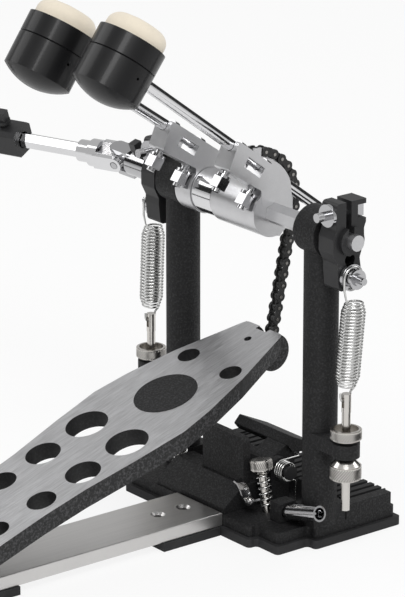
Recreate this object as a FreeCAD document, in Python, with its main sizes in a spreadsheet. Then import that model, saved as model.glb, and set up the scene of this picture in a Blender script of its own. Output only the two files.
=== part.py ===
import FreeCAD, Part
import math
import os
import re
import Sketcher

# Double bass drum pedal. X runs along the axle to the player's right, Y from heel to drum, Z up.
# The origin lies on the floor, straight under the middle of the main pedal's axle.

V = FreeCAD.Vector
doc = FreeCAD.newDocument("double_pedal")
sheet = doc.addObject("Spreadsheet::Sheet", "size")

SIZES = [
    ("axle_z", 222.0, "axle height over the floor"),
    ("axle_r", 5.5, "axle journal radius"),
    ("axle_clear", 0.4, "gap between a journal and its bearing hole"),
    ("hex_af", 12.6, "hexagon part of the axle, across flats"),
    ("axle_tip", 8.0, "axle end outside the rocker"),
    ("split_gap", 1.0, "gap between the right hub and the left half axle"),
    ("post_x", 75.0, "post centre from the middle plane"),
    ("post_r", 12.0, "post column radius"),
    ("boss_r", 16.4, "bearing boss radius"),
    ("boss_w", 21.5, "bearing boss width"),
    ("foot_front", 12.0, "front of the post foot from its middle"),
    ("gap", 0.4, "small working gap between neighbours"),
    ("lean_right", 53.0, "right beater lean from upright at rest"),
    ("lean_left", 55.0, "left beater lean from upright at rest"),
    ("rod_r", 4.0, "beater rod radius"),
    ("rod_gap", 0.3, "gap around the beater rod"),
    ("rod_off", 22.5, "beater rod distance from the axle"),
    ("rod_tail", 40.0, "beater rod tail below the axle line"),
    ("head_up", 172.0, "beater head centre above the axle, along the rod"),
    ("head_r", 24.0, "beater head radius"),
    ("head_half", 19.0, "half length of the beater head"),
    ("head_dome", 8.0, "height of the domed end"),
    ("felt_r", 21.3, "felt radius"),
    ("felt_out", 12.5, "felt length outside the head"),
    ("right_x", 16.0, "right beater rod position"),
    ("holder_gap", 1.8, "gap between the left holder and its bearing boss"),
    ("ear_w", 16.5, "holder width"),
    ("ear_top", 57.0, "holder block end along the rod"),
    ("clamp_low", 21.0, "lower key bolt above the axle, along the rod"),
    ("clamp_top", 48.0, "upper key bolt above the axle, along the rod"),
    ("clamp_wall", 4.8, "holder wall beside a key bolt"),
    ("key_reach", 25.5, "key bolt head from the rod"),
    ("key_af", 8.0, "key bolt head across flats"),
    ("stem_r", 2.9, "key bolt stem radius"),
    ("hub_r", 17.0, "holder hub radius"),
    ("hub_half", 24.0, "half length of the right hub"),
    ("chain_pitch", 8.0, "chain pitch"),
    ("chain_r", 37.5, "pitch radius on the cam"),
    ("chain_turn", -11.5, "angle of the tangent point under the horizontal"),
    ("run_links", 12, "free chain links"),
    ("wrap_end", 8, "links on the cam up to its anchor"),
    ("wrap_free", 4, "links on the cam that lift off in the stroke"),
    ("cam_web", 4.0, "cam wall around a lightening hole"),
    ("cam_w", 9.0, "cam width"),
    ("roller_r", 2.5, "chain roller radius"),
    ("link_r", 3.5, "chain plate end radius"),
    ("pin_r", 1.15, "chain pin radius"),
    ("pin_gap", 0.35, "gap around a chain pin"),
    ("link_in", 1.55, "half width between inner plates"),
    ("link_t", 0.9, "chain plate thickness"),
    ("link_gap", 0.3, "gap between chain plates"),
    ("heel_y", -301.0, "heel hinge position"),
    ("heel_z", 22.0, "heel hinge height"),
    ("board_slope", 19.0, "footboard slope"),
    ("toe_slope", 18.0, "toe slope"),
    ("board_t", 12.5, "footboard thickness"),
    ("bend_y", -42.0, "start of the flatter toe"),
    ("board_rise", 2.0, "footboard top above the hinge line"),
    ("toe_back", 5.0, "footboard end behind the chain pin"),
    ("toe_half", 19.5, "half width of the toe"),
    ("notch_half", 5.5, "half width of the chain notch in the toe"),
    ("lobe_r", 13.2, "radius of the rounded cheeks at the toe"),
    ("lobe_back", 12.6, "middle of the cheeks behind the chain pin"),
    ("lug_r", 3.4, "half height of the chain lug"),
    ("knuckle_half", 26.0, "half width of the footboard's heel knuckle"),
    ("knuckle_r", 6.0, "heel knuckle radius"),
    ("hinge_r", 3.0, "heel hinge pin radius"),
    ("badge_y", -74.0, "middle of the round badge"),
    ("badge_r", 22.4, "badge radius"),
    ("rocker_gap", 3.25, "gap between a bearing boss and its rocker"),
    ("rocker_w", 15.0, "rocker width"),
    ("rocker_arm", 25.0, "spring roller under the axle"),
    ("rocker_top", 27.0, "top of the rocker's clamp over the axle"),
    ("stud_z", 18.0, "clamping stud of a rocker over the axle"),
    ("spring_off", 5.0, "spring plane outside the rocker"),
    ("ear_in", 2.0, "spring ear nearer to the middle than the spring roller"),
    ("ear_back", 4.0, "spring ear towards the player from the spring roller"),
    ("coil_r", 7.55, "spring mean radius"),
    ("wire_r", 0.75, "spring wire radius"),
    ("coil_top", 181.0, "top of the spring body"),
    ("coil_low", 122.0, "bottom of the spring body"),
    ("coil_turns", 26, "spring curls"),
    ("hook_r", 4.2, "radius of the lower hook"),
    ("eye_z", 114.6, "centre of the lower hook"),
    ("hook_gap", 0.55, "gap around the hook in the rod's eye"),
    ("tension_r", 3.0, "tension rod radius"),
    ("rod_low", 33.5, "lower end of the tension rod over the floor"),
    ("ear_z", 77.0, "middle of the spring ear"),
    ("ear_h", 10.0, "spring ear height"),
    ("nut_r", 10.0, "knurled nut radius"),
    ("nut_wall", 1.5, "rim of the cup in the upper nut"),
    ("nut_cup", 4.5, "depth of the cup in the upper nut"),
    ("mat_h", 6.0, "rubber mat thickness"),
    ("base_trim", 4.0, "left edge of the base inside the right one"),
    ("base_side", 9.0, "base casting outside the post centre"),
    ("base_front", -44.0, "base edge on the player's side"),
    ("corner_x", 8.0, "step of the front corner from the side"),
    ("corner_y", -10.0, "start of the stepped front corner"),
    ("step_x", 54.0, "right end of the base's front edge"),
    ("step_y", 7.0, "step of the base's front edge"),
    ("base_back", 61.0, "base edge on the drum side"),
    ("base_t", 8.0, "base plate thickness"),
    ("mat_lip", 3.0, "mat edge outside the casting"),
    ("wall_top", 24.5, "top of the side walls"),
    ("pad_top", 23.5, "top of the ribbed hoop pad"),
    ("bar_w", 50.0, "base bar width"),
    ("bar_t", 9.6, "base bar thickness"),
    ("bar_end", -388.0, "heel end of the base bar"),
    ("jaw_y", 0.0, "jaw pivot position"),
    ("jaw_z", 40.0, "jaw pivot height"),
    ("jaw_half", 30.0, "half width of the hoop jaw"),
    ("jaw_ear", 28.0, "inner face of the jaw ears"),
    ("ear_wall", 5.0, "jaw ear thickness"),
    ("arm_from", 7.0, "start of the jaw's arm from the middle plane"),
    ("pivot_r", 3.0, "jaw pivot radius"),
    ("spur_x", 39.0, "right spur position"),
    ("spur_y", -16.0, "right spur position towards the player"),
    ("spur_left_x", -59.5, "left spur position"),
    ("spur_left_y", -17.5, "left spur position towards the player"),
    ("spur_tilt", 12.0, "spur tilt"),
    ("spur_r", 3.0, "spur screw radius"),
    ("spur_head_r", 7.4, "spur head radius"),
    ("spur_coil_r", 4.4, "spur spring mean radius"),
    ("spur_coil", 25.0, "spur spring length"),
    ("screw_x", 53.0, "inner end of the clamp screw"),
    ("screw_y", -18.5, "clamp screw towards the player"),
    ("screw_z", 19.0, "height of the clamp screw's inner end"),
    ("screw_tilt", 15.0, "rise of the clamp screw"),
    ("screw_r", 3.8, "clamp screw radius"),
    ("sleeve_r", 5.5, "clamp sleeve radius"),
    ("sleeve_from", 15.0, "start of the clamp sleeve along its screw"),
    ("sleeve_to", 46.0, "mouth of the clamp sleeve along its screw"),
    ("joint_off", 34.0, "universal joint centre outside the axle end"),
    ("shaft_turn", 19.5, "drive shaft angle in plan"),
    ("shaft_len", 380.0, "distance between both universal joints"),
    ("yoke_in", 7.0, "inner half width of a fork"),
    ("yoke_t", 3.6, "fork arm thickness"),
    ("yoke_w", 11.0, "fork arm width"),
    ("cross_r", 2.5, "cross pin radius"),
    ("cross_gap", 0.5, "gap around the cross pins in the shaft forks"),
    ("half_swing", 21.46306, "half of the beater swing"),
    ("shaft_af", 10.0, "inner drive bar across flats"),
    ("tube_w", 21.0, "outer drive tube width"),
    ("tube_from", 84.0, "start of the drive tube from the joint"),
    ("bar_stop", 80.0, "end of the inner drive bar before the second joint"),
    ("fork_back", 33.0, "end of a shaft fork behind its joint"),
    ("tube_floor", 6.0, "closed end of the drive tube"),
    ("tube_cut", 3.0, "chamfer of the drive tube"),
    ("slave_arm", 100.0, "second joint from the slave's middle plane"),
    ("slave_post_x", 50.0, "slave post centre from its middle plane"),
    ("slave_side", 24.0, "slave base outside its post centre"),
    ("slave_back", 48.0, "slave base edge on the drum side"),
]
ALIASES = [entry[0] for entry in SIZES]
for row, (alias, value, note) in enumerate(SIZES, 1):
    sheet.set("A%d" % row, note)
    sheet.set("B%d" % row, str(value))
    sheet.setAlias("B%d" % row, alias)
DERIVED = [
    ("toe_y", "chain_r * cos(chain_turn) + run_links * chain_pitch * sin(chain_turn)"),
    ("toe_z", "axle_z + chain_r * sin(chain_turn) - run_links * chain_pitch * cos(chain_turn)"),
    ("rocker_x", "post_x + boss_w / 2 + rocker_gap"),
    ("spring_x", "rocker_x + rocker_w + spring_off"),
    ("ear_x", "spring_x - ear_in"),
    ("axle_end", "rocker_x + rocker_w + axle_tip"),
    ("axle_split", "hub_half + split_gap"),
    ("left_x", "post_x - boss_w / 2 - holder_gap - ear_w / 2"),
    ("joint_x", "axle_end + joint_off"),
    ("base_x", "post_x + base_side"),
    ("bar_to", "shaft_len - bar_stop"),
    ("tube_end", "shaft_len - fork_back"),
    ("slave_x", "-(joint_x + shaft_len * cos(shaft_turn) + slave_arm)"),
    ("slave_y", "-shaft_len * sin(shaft_turn)"),
    ("bend_z", "heel_z + board_rise + (bend_y - heel_y) * tan(board_slope)"),
    ("base_top", "mat_h + base_t"),
    ("bar_top", "mat_h + bar_t"),
]
for row, (alias, formula) in enumerate(DERIVED, len(SIZES) + 2):
    sheet.set("A%d" % row, alias.replace("_", " "))
    sheet.set("B%d" % row, "=" + formula)
    sheet.setAlias("B%d" % row, alias)
    ALIASES.append(alias)
doc.recompute()

NODES = []
count = [0]


def ex(text):
    """Turn a formula in size names into one that any object can be bound to."""
    def full(match):
        return "size." + match.group() if match.group() in ALIASES else match.group()
    return re.sub(r"[a-z]\w*", full, str(text))


def num(text):
    """The present value of a formula in size names."""
    value = sheet.evalExpression(str(text))
    return float(getattr(value, "Value", value))


def fresh(kind, base):
    count[0] += 1
    return doc.addObject(kind, "%s_%d" % (base, count[0]))


def bind(obj, **props):
    for prop, text in props.items():
        obj.setExpression(prop.replace("__", "."), ex(text))
    return obj


def place(obj, at=(0, 0, 0), axis=None, turn=0):
    """Put an object at a point given by formulas, turned about an axis by a formula."""
    rotation = FreeCAD.Rotation()
    if axis is not None:
        rotation = FreeCAD.Rotation(V(*axis), num(turn) or 1.0)
    obj.Placement = FreeCAD.Placement(V(*[num(c) for c in at]), rotation)
    for letter, text in zip("xyz", at):
        obj.setExpression("Placement.Base." + letter, ex(text))
    if axis is not None:
        obj.setExpression("Placement.Rotation.Angle", ex(turn))
    return obj


AXES = {"x": ((0, 1, 0), 90), "y": ((1, 0, 0), -90), "z": (None, 0)}


def cyl(radius, height, at=(0, 0, 0), along="z", angle=None):
    obj = bind(fresh("Part::Cylinder", "round"), Radius=radius, Height=height)
    if angle is not None:
        obj.setExpression("Angle", ex(angle))
    axis, turn = AXES[along]
    return place(obj, at, axis, turn)


def cone(low, top, height, at=(0, 0, 0), along="z"):
    obj = bind(fresh("Part::Cone", "cone"), Radius1=low, Radius2=top, Height=height)
    axis, turn = AXES[along]
    return place(obj, at, axis, turn)


def box(sizes, at=(0, 0, 0), axis=None, turn=0):
    obj = bind(fresh("Part::Box", "block"), Length=sizes[0], Width=sizes[1], Height=sizes[2])
    return place(obj, at, axis, turn)


def hexbar(flats, height, at=(0, 0, 0), along="x"):
    obj = bind(fresh("Part::Prism", "hexagon"), Circumradius="(%s) / sqrt(3)" % flats, Height=height)
    axis, turn = AXES[along]
    return place(obj, at, axis, turn)


def fuse(*items):
    obj = fresh("Part::MultiFuse", "joined")
    obj.Shapes = list(items)
    obj.Refine = True
    return obj


def cut(base, *tools):
    obj = fresh("Part::Cut", "cut")
    obj.Base = base
    obj.Tool = tools[0] if len(tools) == 1 else fuse(*tools)
    obj.Refine = True
    return obj


def group(*items):
    obj = fresh("Part::Compound", "set")
    obj.Links = list(items)
    return obj


def moved(obj, at=(0, 0, 0), axis=None, turn=0):
    """A plain wrapper with its own place, around shapes drawn in their own frame."""
    wrap = group(obj)
    return place(wrap, at, axis, turn)


def node(label, obj):
    obj.Label = label
    NODES.append(obj)
    return obj


def sketch_on(body, role, points, lift="0"):
    """A closed outline of straight sides whose corners are held by formulas."""
    count[0] += 1
    sk = body.newObject("Sketcher::SketchObject", "outline_%d" % count[0])
    plane = [f for f in body.Origin.OriginFeatures if f.Role == role][0]
    sk.AttachmentSupport = [(plane, "")]
    sk.MapMode = "FlatFace"
    sk.AttachmentOffset = FreeCAD.Placement(V(0, 0, num(lift)), FreeCAD.Rotation())
    sk.setExpression("AttachmentOffset.Base.z", ex(lift))
    values = [(num(u), num(v)) for u, v in points]
    total = len(points)
    for i in range(total):
        a, b = values[i], values[(i + 1) % total]
        sk.addGeometry(Part.LineSegment(V(a[0], a[1], 0), V(b[0], b[1], 0)), False)
    for i in range(total):
        sk.addConstraint(Sketcher.Constraint("Coincident", i, 2, (i + 1) % total, 1))
    for i, (u, v) in enumerate(points):
        for kind, text, value in (("DistanceX", u, values[i][0]), ("DistanceY", v, values[i][1])):
            index = sk.addConstraint(Sketcher.Constraint(kind, -1, 1, i, 1, value))
            sk.setExpression("Constraints[%d]" % index, ex(text))
    return sk


def prism(role, points, length, lift="0"):
    """A padded outline: on the plane of the given role, from lift, over a length."""
    body = fresh("PartDesign::Body", "body")
    sk = sketch_on(body, role, points, lift)
    doc.recompute()
    pad = body.newObject("PartDesign::Pad", "pad_%d" % count[0])
    pad.Profile = sk
    pad.Length = num(length)
    pad.setExpression("Length", ex(length))
    body.Tip = pad
    doc.recompute()
    return body


def turned(points):
    """A body turned about the Y axis from points given as place along Y and radius."""
    body = fresh("PartDesign::Body", "body")
    sk = sketch_on(body, "YZ_Plane", points)
    doc.recompute()
    rev = body.newObject("PartDesign::Revolution", "turn_%d" % count[0])
    rev.Profile = sk
    rev.ReferenceAxis = (sk, ["H_Axis"])
    rev.Angle = 360
    body.Tip = rev
    doc.recompute()
    return body


def soften(body, radius, pick):
    """Round the edges of a body that pick chooses."""
    base = body.Tip
    names = ["Edge%d" % (i + 1) for i, e in enumerate(base.Shape.Edges) if pick(e)]
    count[0] += 1
    step = body.newObject("PartDesign::Fillet", "round_%d" % count[0])
    step.Base = (base, names)
    step.Radius = num(radius)
    step.setExpression("Radius", ex(radius))
    body.Tip = step
    doc.recompute()
    return body


def runs_along(edge, axis):
    if edge.Curve.TypeId != "Part::GeomLine":
        return False
    way = edge.Curve.Direction
    return abs(abs(getattr(way, axis)) - 1) < 1e-6


# Formed pieces: wire runs made of arcs, and the chain.

def arc_to(start, tangent, end):
    chord = end - start
    length = chord.Length
    unit = chord / length
    side = tangent - unit * tangent.dot(unit)
    if side.Length < 1e-7:
        return Part.LineSegment(start, end).toShape()
    angle = math.atan2(side.Length, tangent.dot(unit))
    middle = start + chord / 2 + side / side.Length * (length / 2 * math.tan(angle / 2))
    return Part.Arc(start, middle, end).toShape()


def biarc(p0, t0, p1, t1):
    """Two arcs that leave p0 along t0 and reach p1 along t1."""
    v = p1 - p0
    t = t0 + t1
    k = 2 * (1 - t0.dot(t1))
    if k < 1e-9:
        if (v / v.Length - t0).Length < 1e-6:
            return [Part.LineSegment(p0, p1).toShape()]
        d = v.dot(v) / (4 * v.dot(t0))
    else:
        d = (-v.dot(t) + math.sqrt(v.dot(t) ** 2 + k * v.dot(v))) / k
    joint = (p0 + t0 * d + p1 - t1 * d) / 2
    way = (p1 - t1 * d) - (p0 + t0 * d)
    way = way / way.Length
    return [arc_to(p0, t0, joint), arc_to(joint, way, p1)]


def wire_solid(stations, radius):
    """One unbroken round wire through stations, each a point and a direction."""
    edges = []
    for (p0, t0), (p1, t1) in zip(stations, stations[1:]):
        edges += biarc(p0, t0 / t0.Length, p1, t1 / t1.Length)
    spine = Part.Wire(edges)
    start, way = stations[0]
    ring = Part.Wire([Part.Circle(start, way, radius).toShape()])
    shell = Part.BRepOffsetAPI.MakePipeShell(spine)
    shell.add(ring)
    shell.build()
    shell.makeSolid()
    return shell.shape(), spine


def self_gap(spine, radius):
    """Least gap of a wire to itself, between points that are further apart along it than a half curl."""
    points = []
    for edge in spine.Edges:
        n = max(2, int(edge.Length / 0.8))
        for p in edge.discretize(n)[:-1]:
            points.append(p)
    along = [0.0]
    for a, b in zip(points, points[1:]):
        along.append(along[-1] + (b - a).Length)
    cells = {}
    size = 4.0
    for i, p in enumerate(points):
        cells.setdefault((int(p.x // size), int(p.y // size), int(p.z // size)), []).append(i)
    least = 1e9
    for i, p in enumerate(points):
        home = (int(p.x // size), int(p.y // size), int(p.z // size))
        for dx in (-1, 0, 1):
            for dy in (-1, 0, 1):
                for dz in (-1, 0, 1):
                    for j in cells.get((home[0] + dx, home[1] + dy, home[2] + dz), ()):
                        if along[j] - along[i] > 12 * radius:
                            least = min(least, (points[j] - p).Length)
    return least - 2 * radius


def coil_station(radius, angle, z, rise):
    point = V(radius * math.cos(angle), radius * math.sin(angle), z)
    return point, V(-radius * math.sin(angle), radius * math.cos(angle), rise)


def formed(label, shape):
    obj = doc.addObject("Part::Feature", label)
    obj.Shape = shape
    return node(label, obj)


def leaning(stations, way, low, top):
    """Shift stations sideways in step with their height between two levels."""
    shifted = []
    for point, tangent in stations:
        share = (point.z - low) / (top - low)
        slope = way * (tangent.z / (top - low)) if 0 < share < 1 else V()
        shifted.append((point + way * min(1.0, max(0.0, share)), tangent + slope))
    return shifted


def tension_spring(label, side):
    """Coil spring with a loop around the roller and a hook through the rod's eye."""
    radius = num("coil_r")
    wire = num("wire_r")
    roller = num("axle_z - rocker_arm")
    top = num("coil_top")
    low = num("coil_low")
    turns = int(num("coil_turns"))
    pitch = (top - low) / turns
    hook = num("hook_r")
    eye = num("eye_z")
    stations = []
    for degrees in (-110, -65, -20, 25, 70, 125, 180):
        a = math.radians(degrees)
        point = V(0, radius * math.cos(a), roller + radius * math.sin(a))
        stations.append((point, V(0, -math.sin(a), math.cos(a))))
    stations.append((V(0, -radius, top + radius), V(0, 0, -1)))
    for i in range(1, 2 * turns + 1):
        turn = i / 2.0
        taper = min(1.0, 0.7 + 0.1 * turn, 0.7 + 0.1 * (turns + 0.5 - turn))
        stations.append(coil_station(radius * taper, math.pi * i, top - pitch * turn, -pitch / (2 * math.pi)))
    stations.append((V(0, hook, eye + 3.4), V(0, 0, -1)))
    stations.append((V(0, hook, eye), V(0, 0, -1)))
    stations.append((V(0, 0, eye - hook), V(0, -1, 0)))
    stations.append((V(0, -hook, eye), V(0, 0, 1)))
    stations.append((V(0, -hook, eye + 2.4), V(0, 0, 1)))
    stations = leaning(stations, V(side * num("ear_in"), num("ear_back"), 0), low, top)
    shape, spine = wire_solid(stations, wire)
    print(label, "least gap", round(self_gap(spine, wire), 3), "valid", shape.isValid())
    obj = formed(label, shape)
    obj.Placement = FreeCAD.Placement(V(side * num("ear_x"), -num("ear_back"), 0), FreeCAD.Rotation())
    return obj


def link(pin_a, pin_b, outer):
    """One chain link between two pins given in the YZ plane."""
    across = num("link_in")
    plate = num("link_t")
    start = across + plate + num("link_gap") if outer else across
    way = pin_b - pin_a
    length = way.Length
    unit = way / length
    end_r = num("link_r")
    parts = []
    for side in (-1, 1):
        x0 = start if side > 0 else -start - plate
        for pin in (pin_a, pin_b):
            parts.append(Part.makeCylinder(end_r, plate, V(x0, pin.y, pin.z), V(1, 0, 0)))
        waist = Part.makeBox(plate, length, 2 * end_r * 0.68, V(0, 0, -end_r * 0.68))
        turn = math.degrees(math.atan2(unit.z, unit.y))
        waist.Placement = FreeCAD.Placement(V(x0, pin_a.y, pin_a.z), FreeCAD.Rotation(V(1, 0, 0), turn))
        parts.append(waist)
    pin_r = num("pin_r")
    for pin in (pin_a, pin_b):
        if outer:
            half = start + plate + 0.4
            parts.append(Part.makeCylinder(pin_r, 2 * half, V(-half, pin.y, pin.z), V(1, 0, 0)))
        else:
            parts.append(Part.makeCylinder(num("roller_r"), 2 * across, V(-across, pin.y, pin.z), V(1, 0, 0)))
    solid = parts[0].fuse(parts[1:])
    if not outer:
        half = across + plate + 1
        holes = [Part.makeCylinder(pin_r + num("pin_gap"), 2 * half, V(-half, pin.y, pin.z), V(1, 0, 0))
                 for pin in (pin_a, pin_b)]
        solid = solid.cut(holes[0].fuse(holes[1]))
    return solid.removeSplitter()


def chain_pin(index):
    """Chain pins: 0 is the tangent point, higher ones lie on the cam, lower ones on the free run."""
    radius = num("chain_r")
    start = math.radians(num("chain_turn"))
    pitch = num("chain_pitch")
    if index >= 0:
        a = start + index * 2 * math.asin(pitch / 2 / radius)
        return V(0, radius * math.cos(a), radius * math.sin(a))
    away = -index * pitch
    tangent = V(0, math.sin(start), -math.cos(start))
    return V(0, radius * math.cos(start), radius * math.sin(start)) + tangent * away


def chain(label, low, high, at):
    links = [link(chain_pin(i), chain_pin(i + 1), i % 2 == 0) for i in range(low, high)]
    obj = formed(label, Part.Compound(links))
    obj.Placement = FreeCAD.Placement(V(*[num(c) for c in at]), FreeCAD.Rotation())
    return obj


# Beater holders, drawn upright around the axle: rod along Z, felt side towards +Y.

def holder(rod_x, hub_from, hub_len, bore):
    """Block on a hub with a saddle for the rod, a window and two key bolts; returns block and bolts."""
    back = "rod_off + rod_r"
    profile = [(back, "ear_top"), ("rod_off - 17", "ear_top - 4.5"), ("rod_off - 15", "hub_r + 2"),
               ("0", "hub_r - 4"), ("2", "5 - hub_r"), ("hub_r - 3", "-10"),
               ("rod_off + 2", "0"), (back, "8")]
    body = prism("YZ_Plane", profile, "ear_w", "%s - ear_w / 2" % rod_x)
    soften(body, "2", lambda e: runs_along(e, "x"))
    whole = fuse(body, cyl("hub_r", hub_len, (hub_from, 0, 0), "x"))
    seat = "(rod_r + rod_gap)"
    tools = [bore,
             cyl(seat, "ear_top + 20", (rod_x, "rod_off", "-10")),
             box(("2 * " + seat, "20", "ear_top + 20"), ("%s - %s" % (rod_x, seat), "rod_off", "-10")),
             box(("ear_w + 2", "7.5", "clamp_top - clamp_low - 2 * clamp_wall"),
                 ("%s - ear_w / 2 - 1" % rod_x, "rod_off - 8.5", "clamp_low + clamp_wall"))]
    bolts = []
    head_y = "rod_off - key_reach"
    room = "(key_af / 2 + 1.8)"
    for z in ("clamp_low", "clamp_top"):
        ring = cut(cyl(seat + " + 2", "4.6", (rod_x, "rod_off", z + " - 2.3")),
                   cyl(seat + " + 0.1", "6", (rod_x, "rod_off", z + " - 3")))
        stem = cyl("stem_r", "key_reach - key_af / 2 - rod_r - rod_gap - 0.7",
                   (rod_x, head_y + " + key_af / 2", z), "y")
        head = box(("key_af", "key_af", "key_af"),
                   ("%s - key_af / 2" % rod_x, head_y + " - key_af / 2", z + " - key_af / 2"))
        collar = cyl("key_af / 2 + 1.4", "2", (rod_x, head_y + " + key_af / 2", z), "y")
        tip = cyl("stem_r", "3", (rod_x, head_y + " - key_af / 2 - 2.5", z), "y")
        bolts.append(fuse(ring, stem, head, collar, tip))
        tools.append(cyl("stem_r + gap", "key_reach", (rod_x, head_y, z), "y"))
        tools.append(cyl(seat + " + 2.4", "5.4", (rod_x, "rod_off", z + " - 2.7")))
        tools.append(box(("2 * " + room, "key_af + 10", "2 * " + room),
                         ("%s - %s" % (rod_x, room), head_y + " - key_af / 2 - 7.6", "%s - %s" % (z, room))))
    return cut(whole, *tools), group(*bolts)


def hung(label, obj, lean):
    """Put an upright piece on the axle line, leaned back by a size."""
    return node(label, moved(obj, (0, 0, "axle_z"), (1, 0, 0), lean))


# Main axle with the right beater.
block, bolts = holder("right_x", "-hub_half + 0.6", "2 * hub_half - 0.6",
                      hexbar("hex_af + 0.1", "2 * hub_half + 4", ("-hub_half - 2", 0, 0)))
hung("holder_right", block, "lean_right")
hung("holder_right_bolts", bolts, "lean_right")
axle = fuse(hexbar("hex_af", "post_x - post_r - 1 + hub_half - 1", ("-hub_half + 1", 0, 0)),
            cyl("axle_r", "axle_end - 40", ("40", 0, 0), "x"),
            cyl("axle_r - 0.6", "axle_split + 20", ("-axle_split - 15", 0, 0), "x"))
hung("hex_axle", axle, "lean_right")

# Left axle: sleeve and holder.
block, bolts = holder("-left_x", "-left_x - ear_w / 2", "ear_w",
                      cyl("axle_r + 4.1", "ear_w + 40", ("-left_x - ear_w / 2 - 20", 0, 0), "x"))
hung("holder_left", block, "lean_left")
hung("holder_left_bolts", bolts, "lean_left")
inner = "-left_x + ear_w / 2 + gap"
sleeve = fuse(cyl("hub_r - 1", "left_x - ear_w / 2 - axle_split - gap", (inner, 0, 0), "x"),
              cyl("axle_r + 4", "30", ("-left_x - ear_w / 2 + 2", 0, 0), "x"),
              cyl("axle_r", "axle_end - 40", ("-axle_end", 0, 0), "x"))
hung("left_axle", cut(sleeve, cyl("axle_r - 0.2", "40", ("-axle_split - 18", 0, 0), "x")), "lean_left")

# Cam with its chain wrap, and the loose links that leave it.
AXLE = (0, 0, "axle_z")
SWEEP = "155"
CAM_START = "-50"


def cam_parts():
    """Sector of a disc on the hub, with lightening holes and the chain's anchor pin."""
    rim = "(chain_r - link_r - 0.6)"
    disc = fuse(cyl(rim, "cam_w", ("-cam_w / 2", 0, 0), "x", SWEEP),
                cyl("chain_r - roller_r - 0.4", "2 * link_in - 0.6", ("-link_in + 0.3", 0, 0), "x", SWEEP))
    sector = moved(disc, (0, 0, 0), (1, 0, 0), "90 + " + CAM_START)
    slots = []
    for angle in (-20, 10, 40, 70):
        slot = cyl("(%s - hub_r) / 2 - cam_web" % rim, "2 * cam_w",
                   ("-cam_w", "(hub_r + %s) / 2" % rim, 0), "x")
        slots.append(moved(slot, (0, 0, 0), (1, 0, 0), str(angle)))
    anchor = "chain_turn + wrap_end * 2 * asin(chain_pitch / 2 / chain_r) / (1 deg)"
    cheek = "(link_in + link_t + link_gap)"
    cheeks = [box(("1.6", "chain_r - hub_r", "2 * link_r - 1"), (start, "hub_r + 3", "0.5 - link_r"))
              for start in (cheek, "-%s - 1.6" % cheek)]
    cheeks.append(cyl("pin_r", "2 * (%s + 1.6)" % cheek, ("-%s - 1.6" % cheek, "chain_r", 0), "x"))
    tie = moved(fuse(*cheeks), (0, 0, 0), (1, 0, 0), anchor)
    return cut(fuse(cut(sector, *slots), tie), cyl("hub_r + 0.02", "4 * cam_w", ("-2 * cam_w", 0, 0), "x"))


def chains(prefix, at):
    """The links on the cam, two pairs that lift off it, and the free run down to the toe."""
    free = int(num("wrap_free"))
    chain(prefix + "chain_wrap", free, int(num("wrap_end")), at)
    chain(prefix + "chain_upper", free // 2, free, at)
    chain(prefix + "chain_middle", 0, free // 2, at)
    chain(prefix + "chain_run", -int(num("run_links")), 0, at)


node("cam", moved(cam_parts(), AXLE))
chains("", AXLE)


def span(side, near, far):
    """Start and length along X of a piece between two distances from the middle plane."""
    start = "%s" % near if side > 0 else "-(%s)" % far
    return start, "(%s) - (%s)" % (far, near)


def xcyl(side, radius, near, far, y="0", z="0"):
    start, length = span(side, near, far)
    return cyl(radius, length, (start, y, z), "x")


def xbox(side, near, far, y0, y1, z0, z1):
    start, length = span(side, near, far)
    return box((length, "(%s) - (%s)" % (y1, y0), "(%s) - (%s)" % (z1, z0)), (start, y0, z0))


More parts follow.
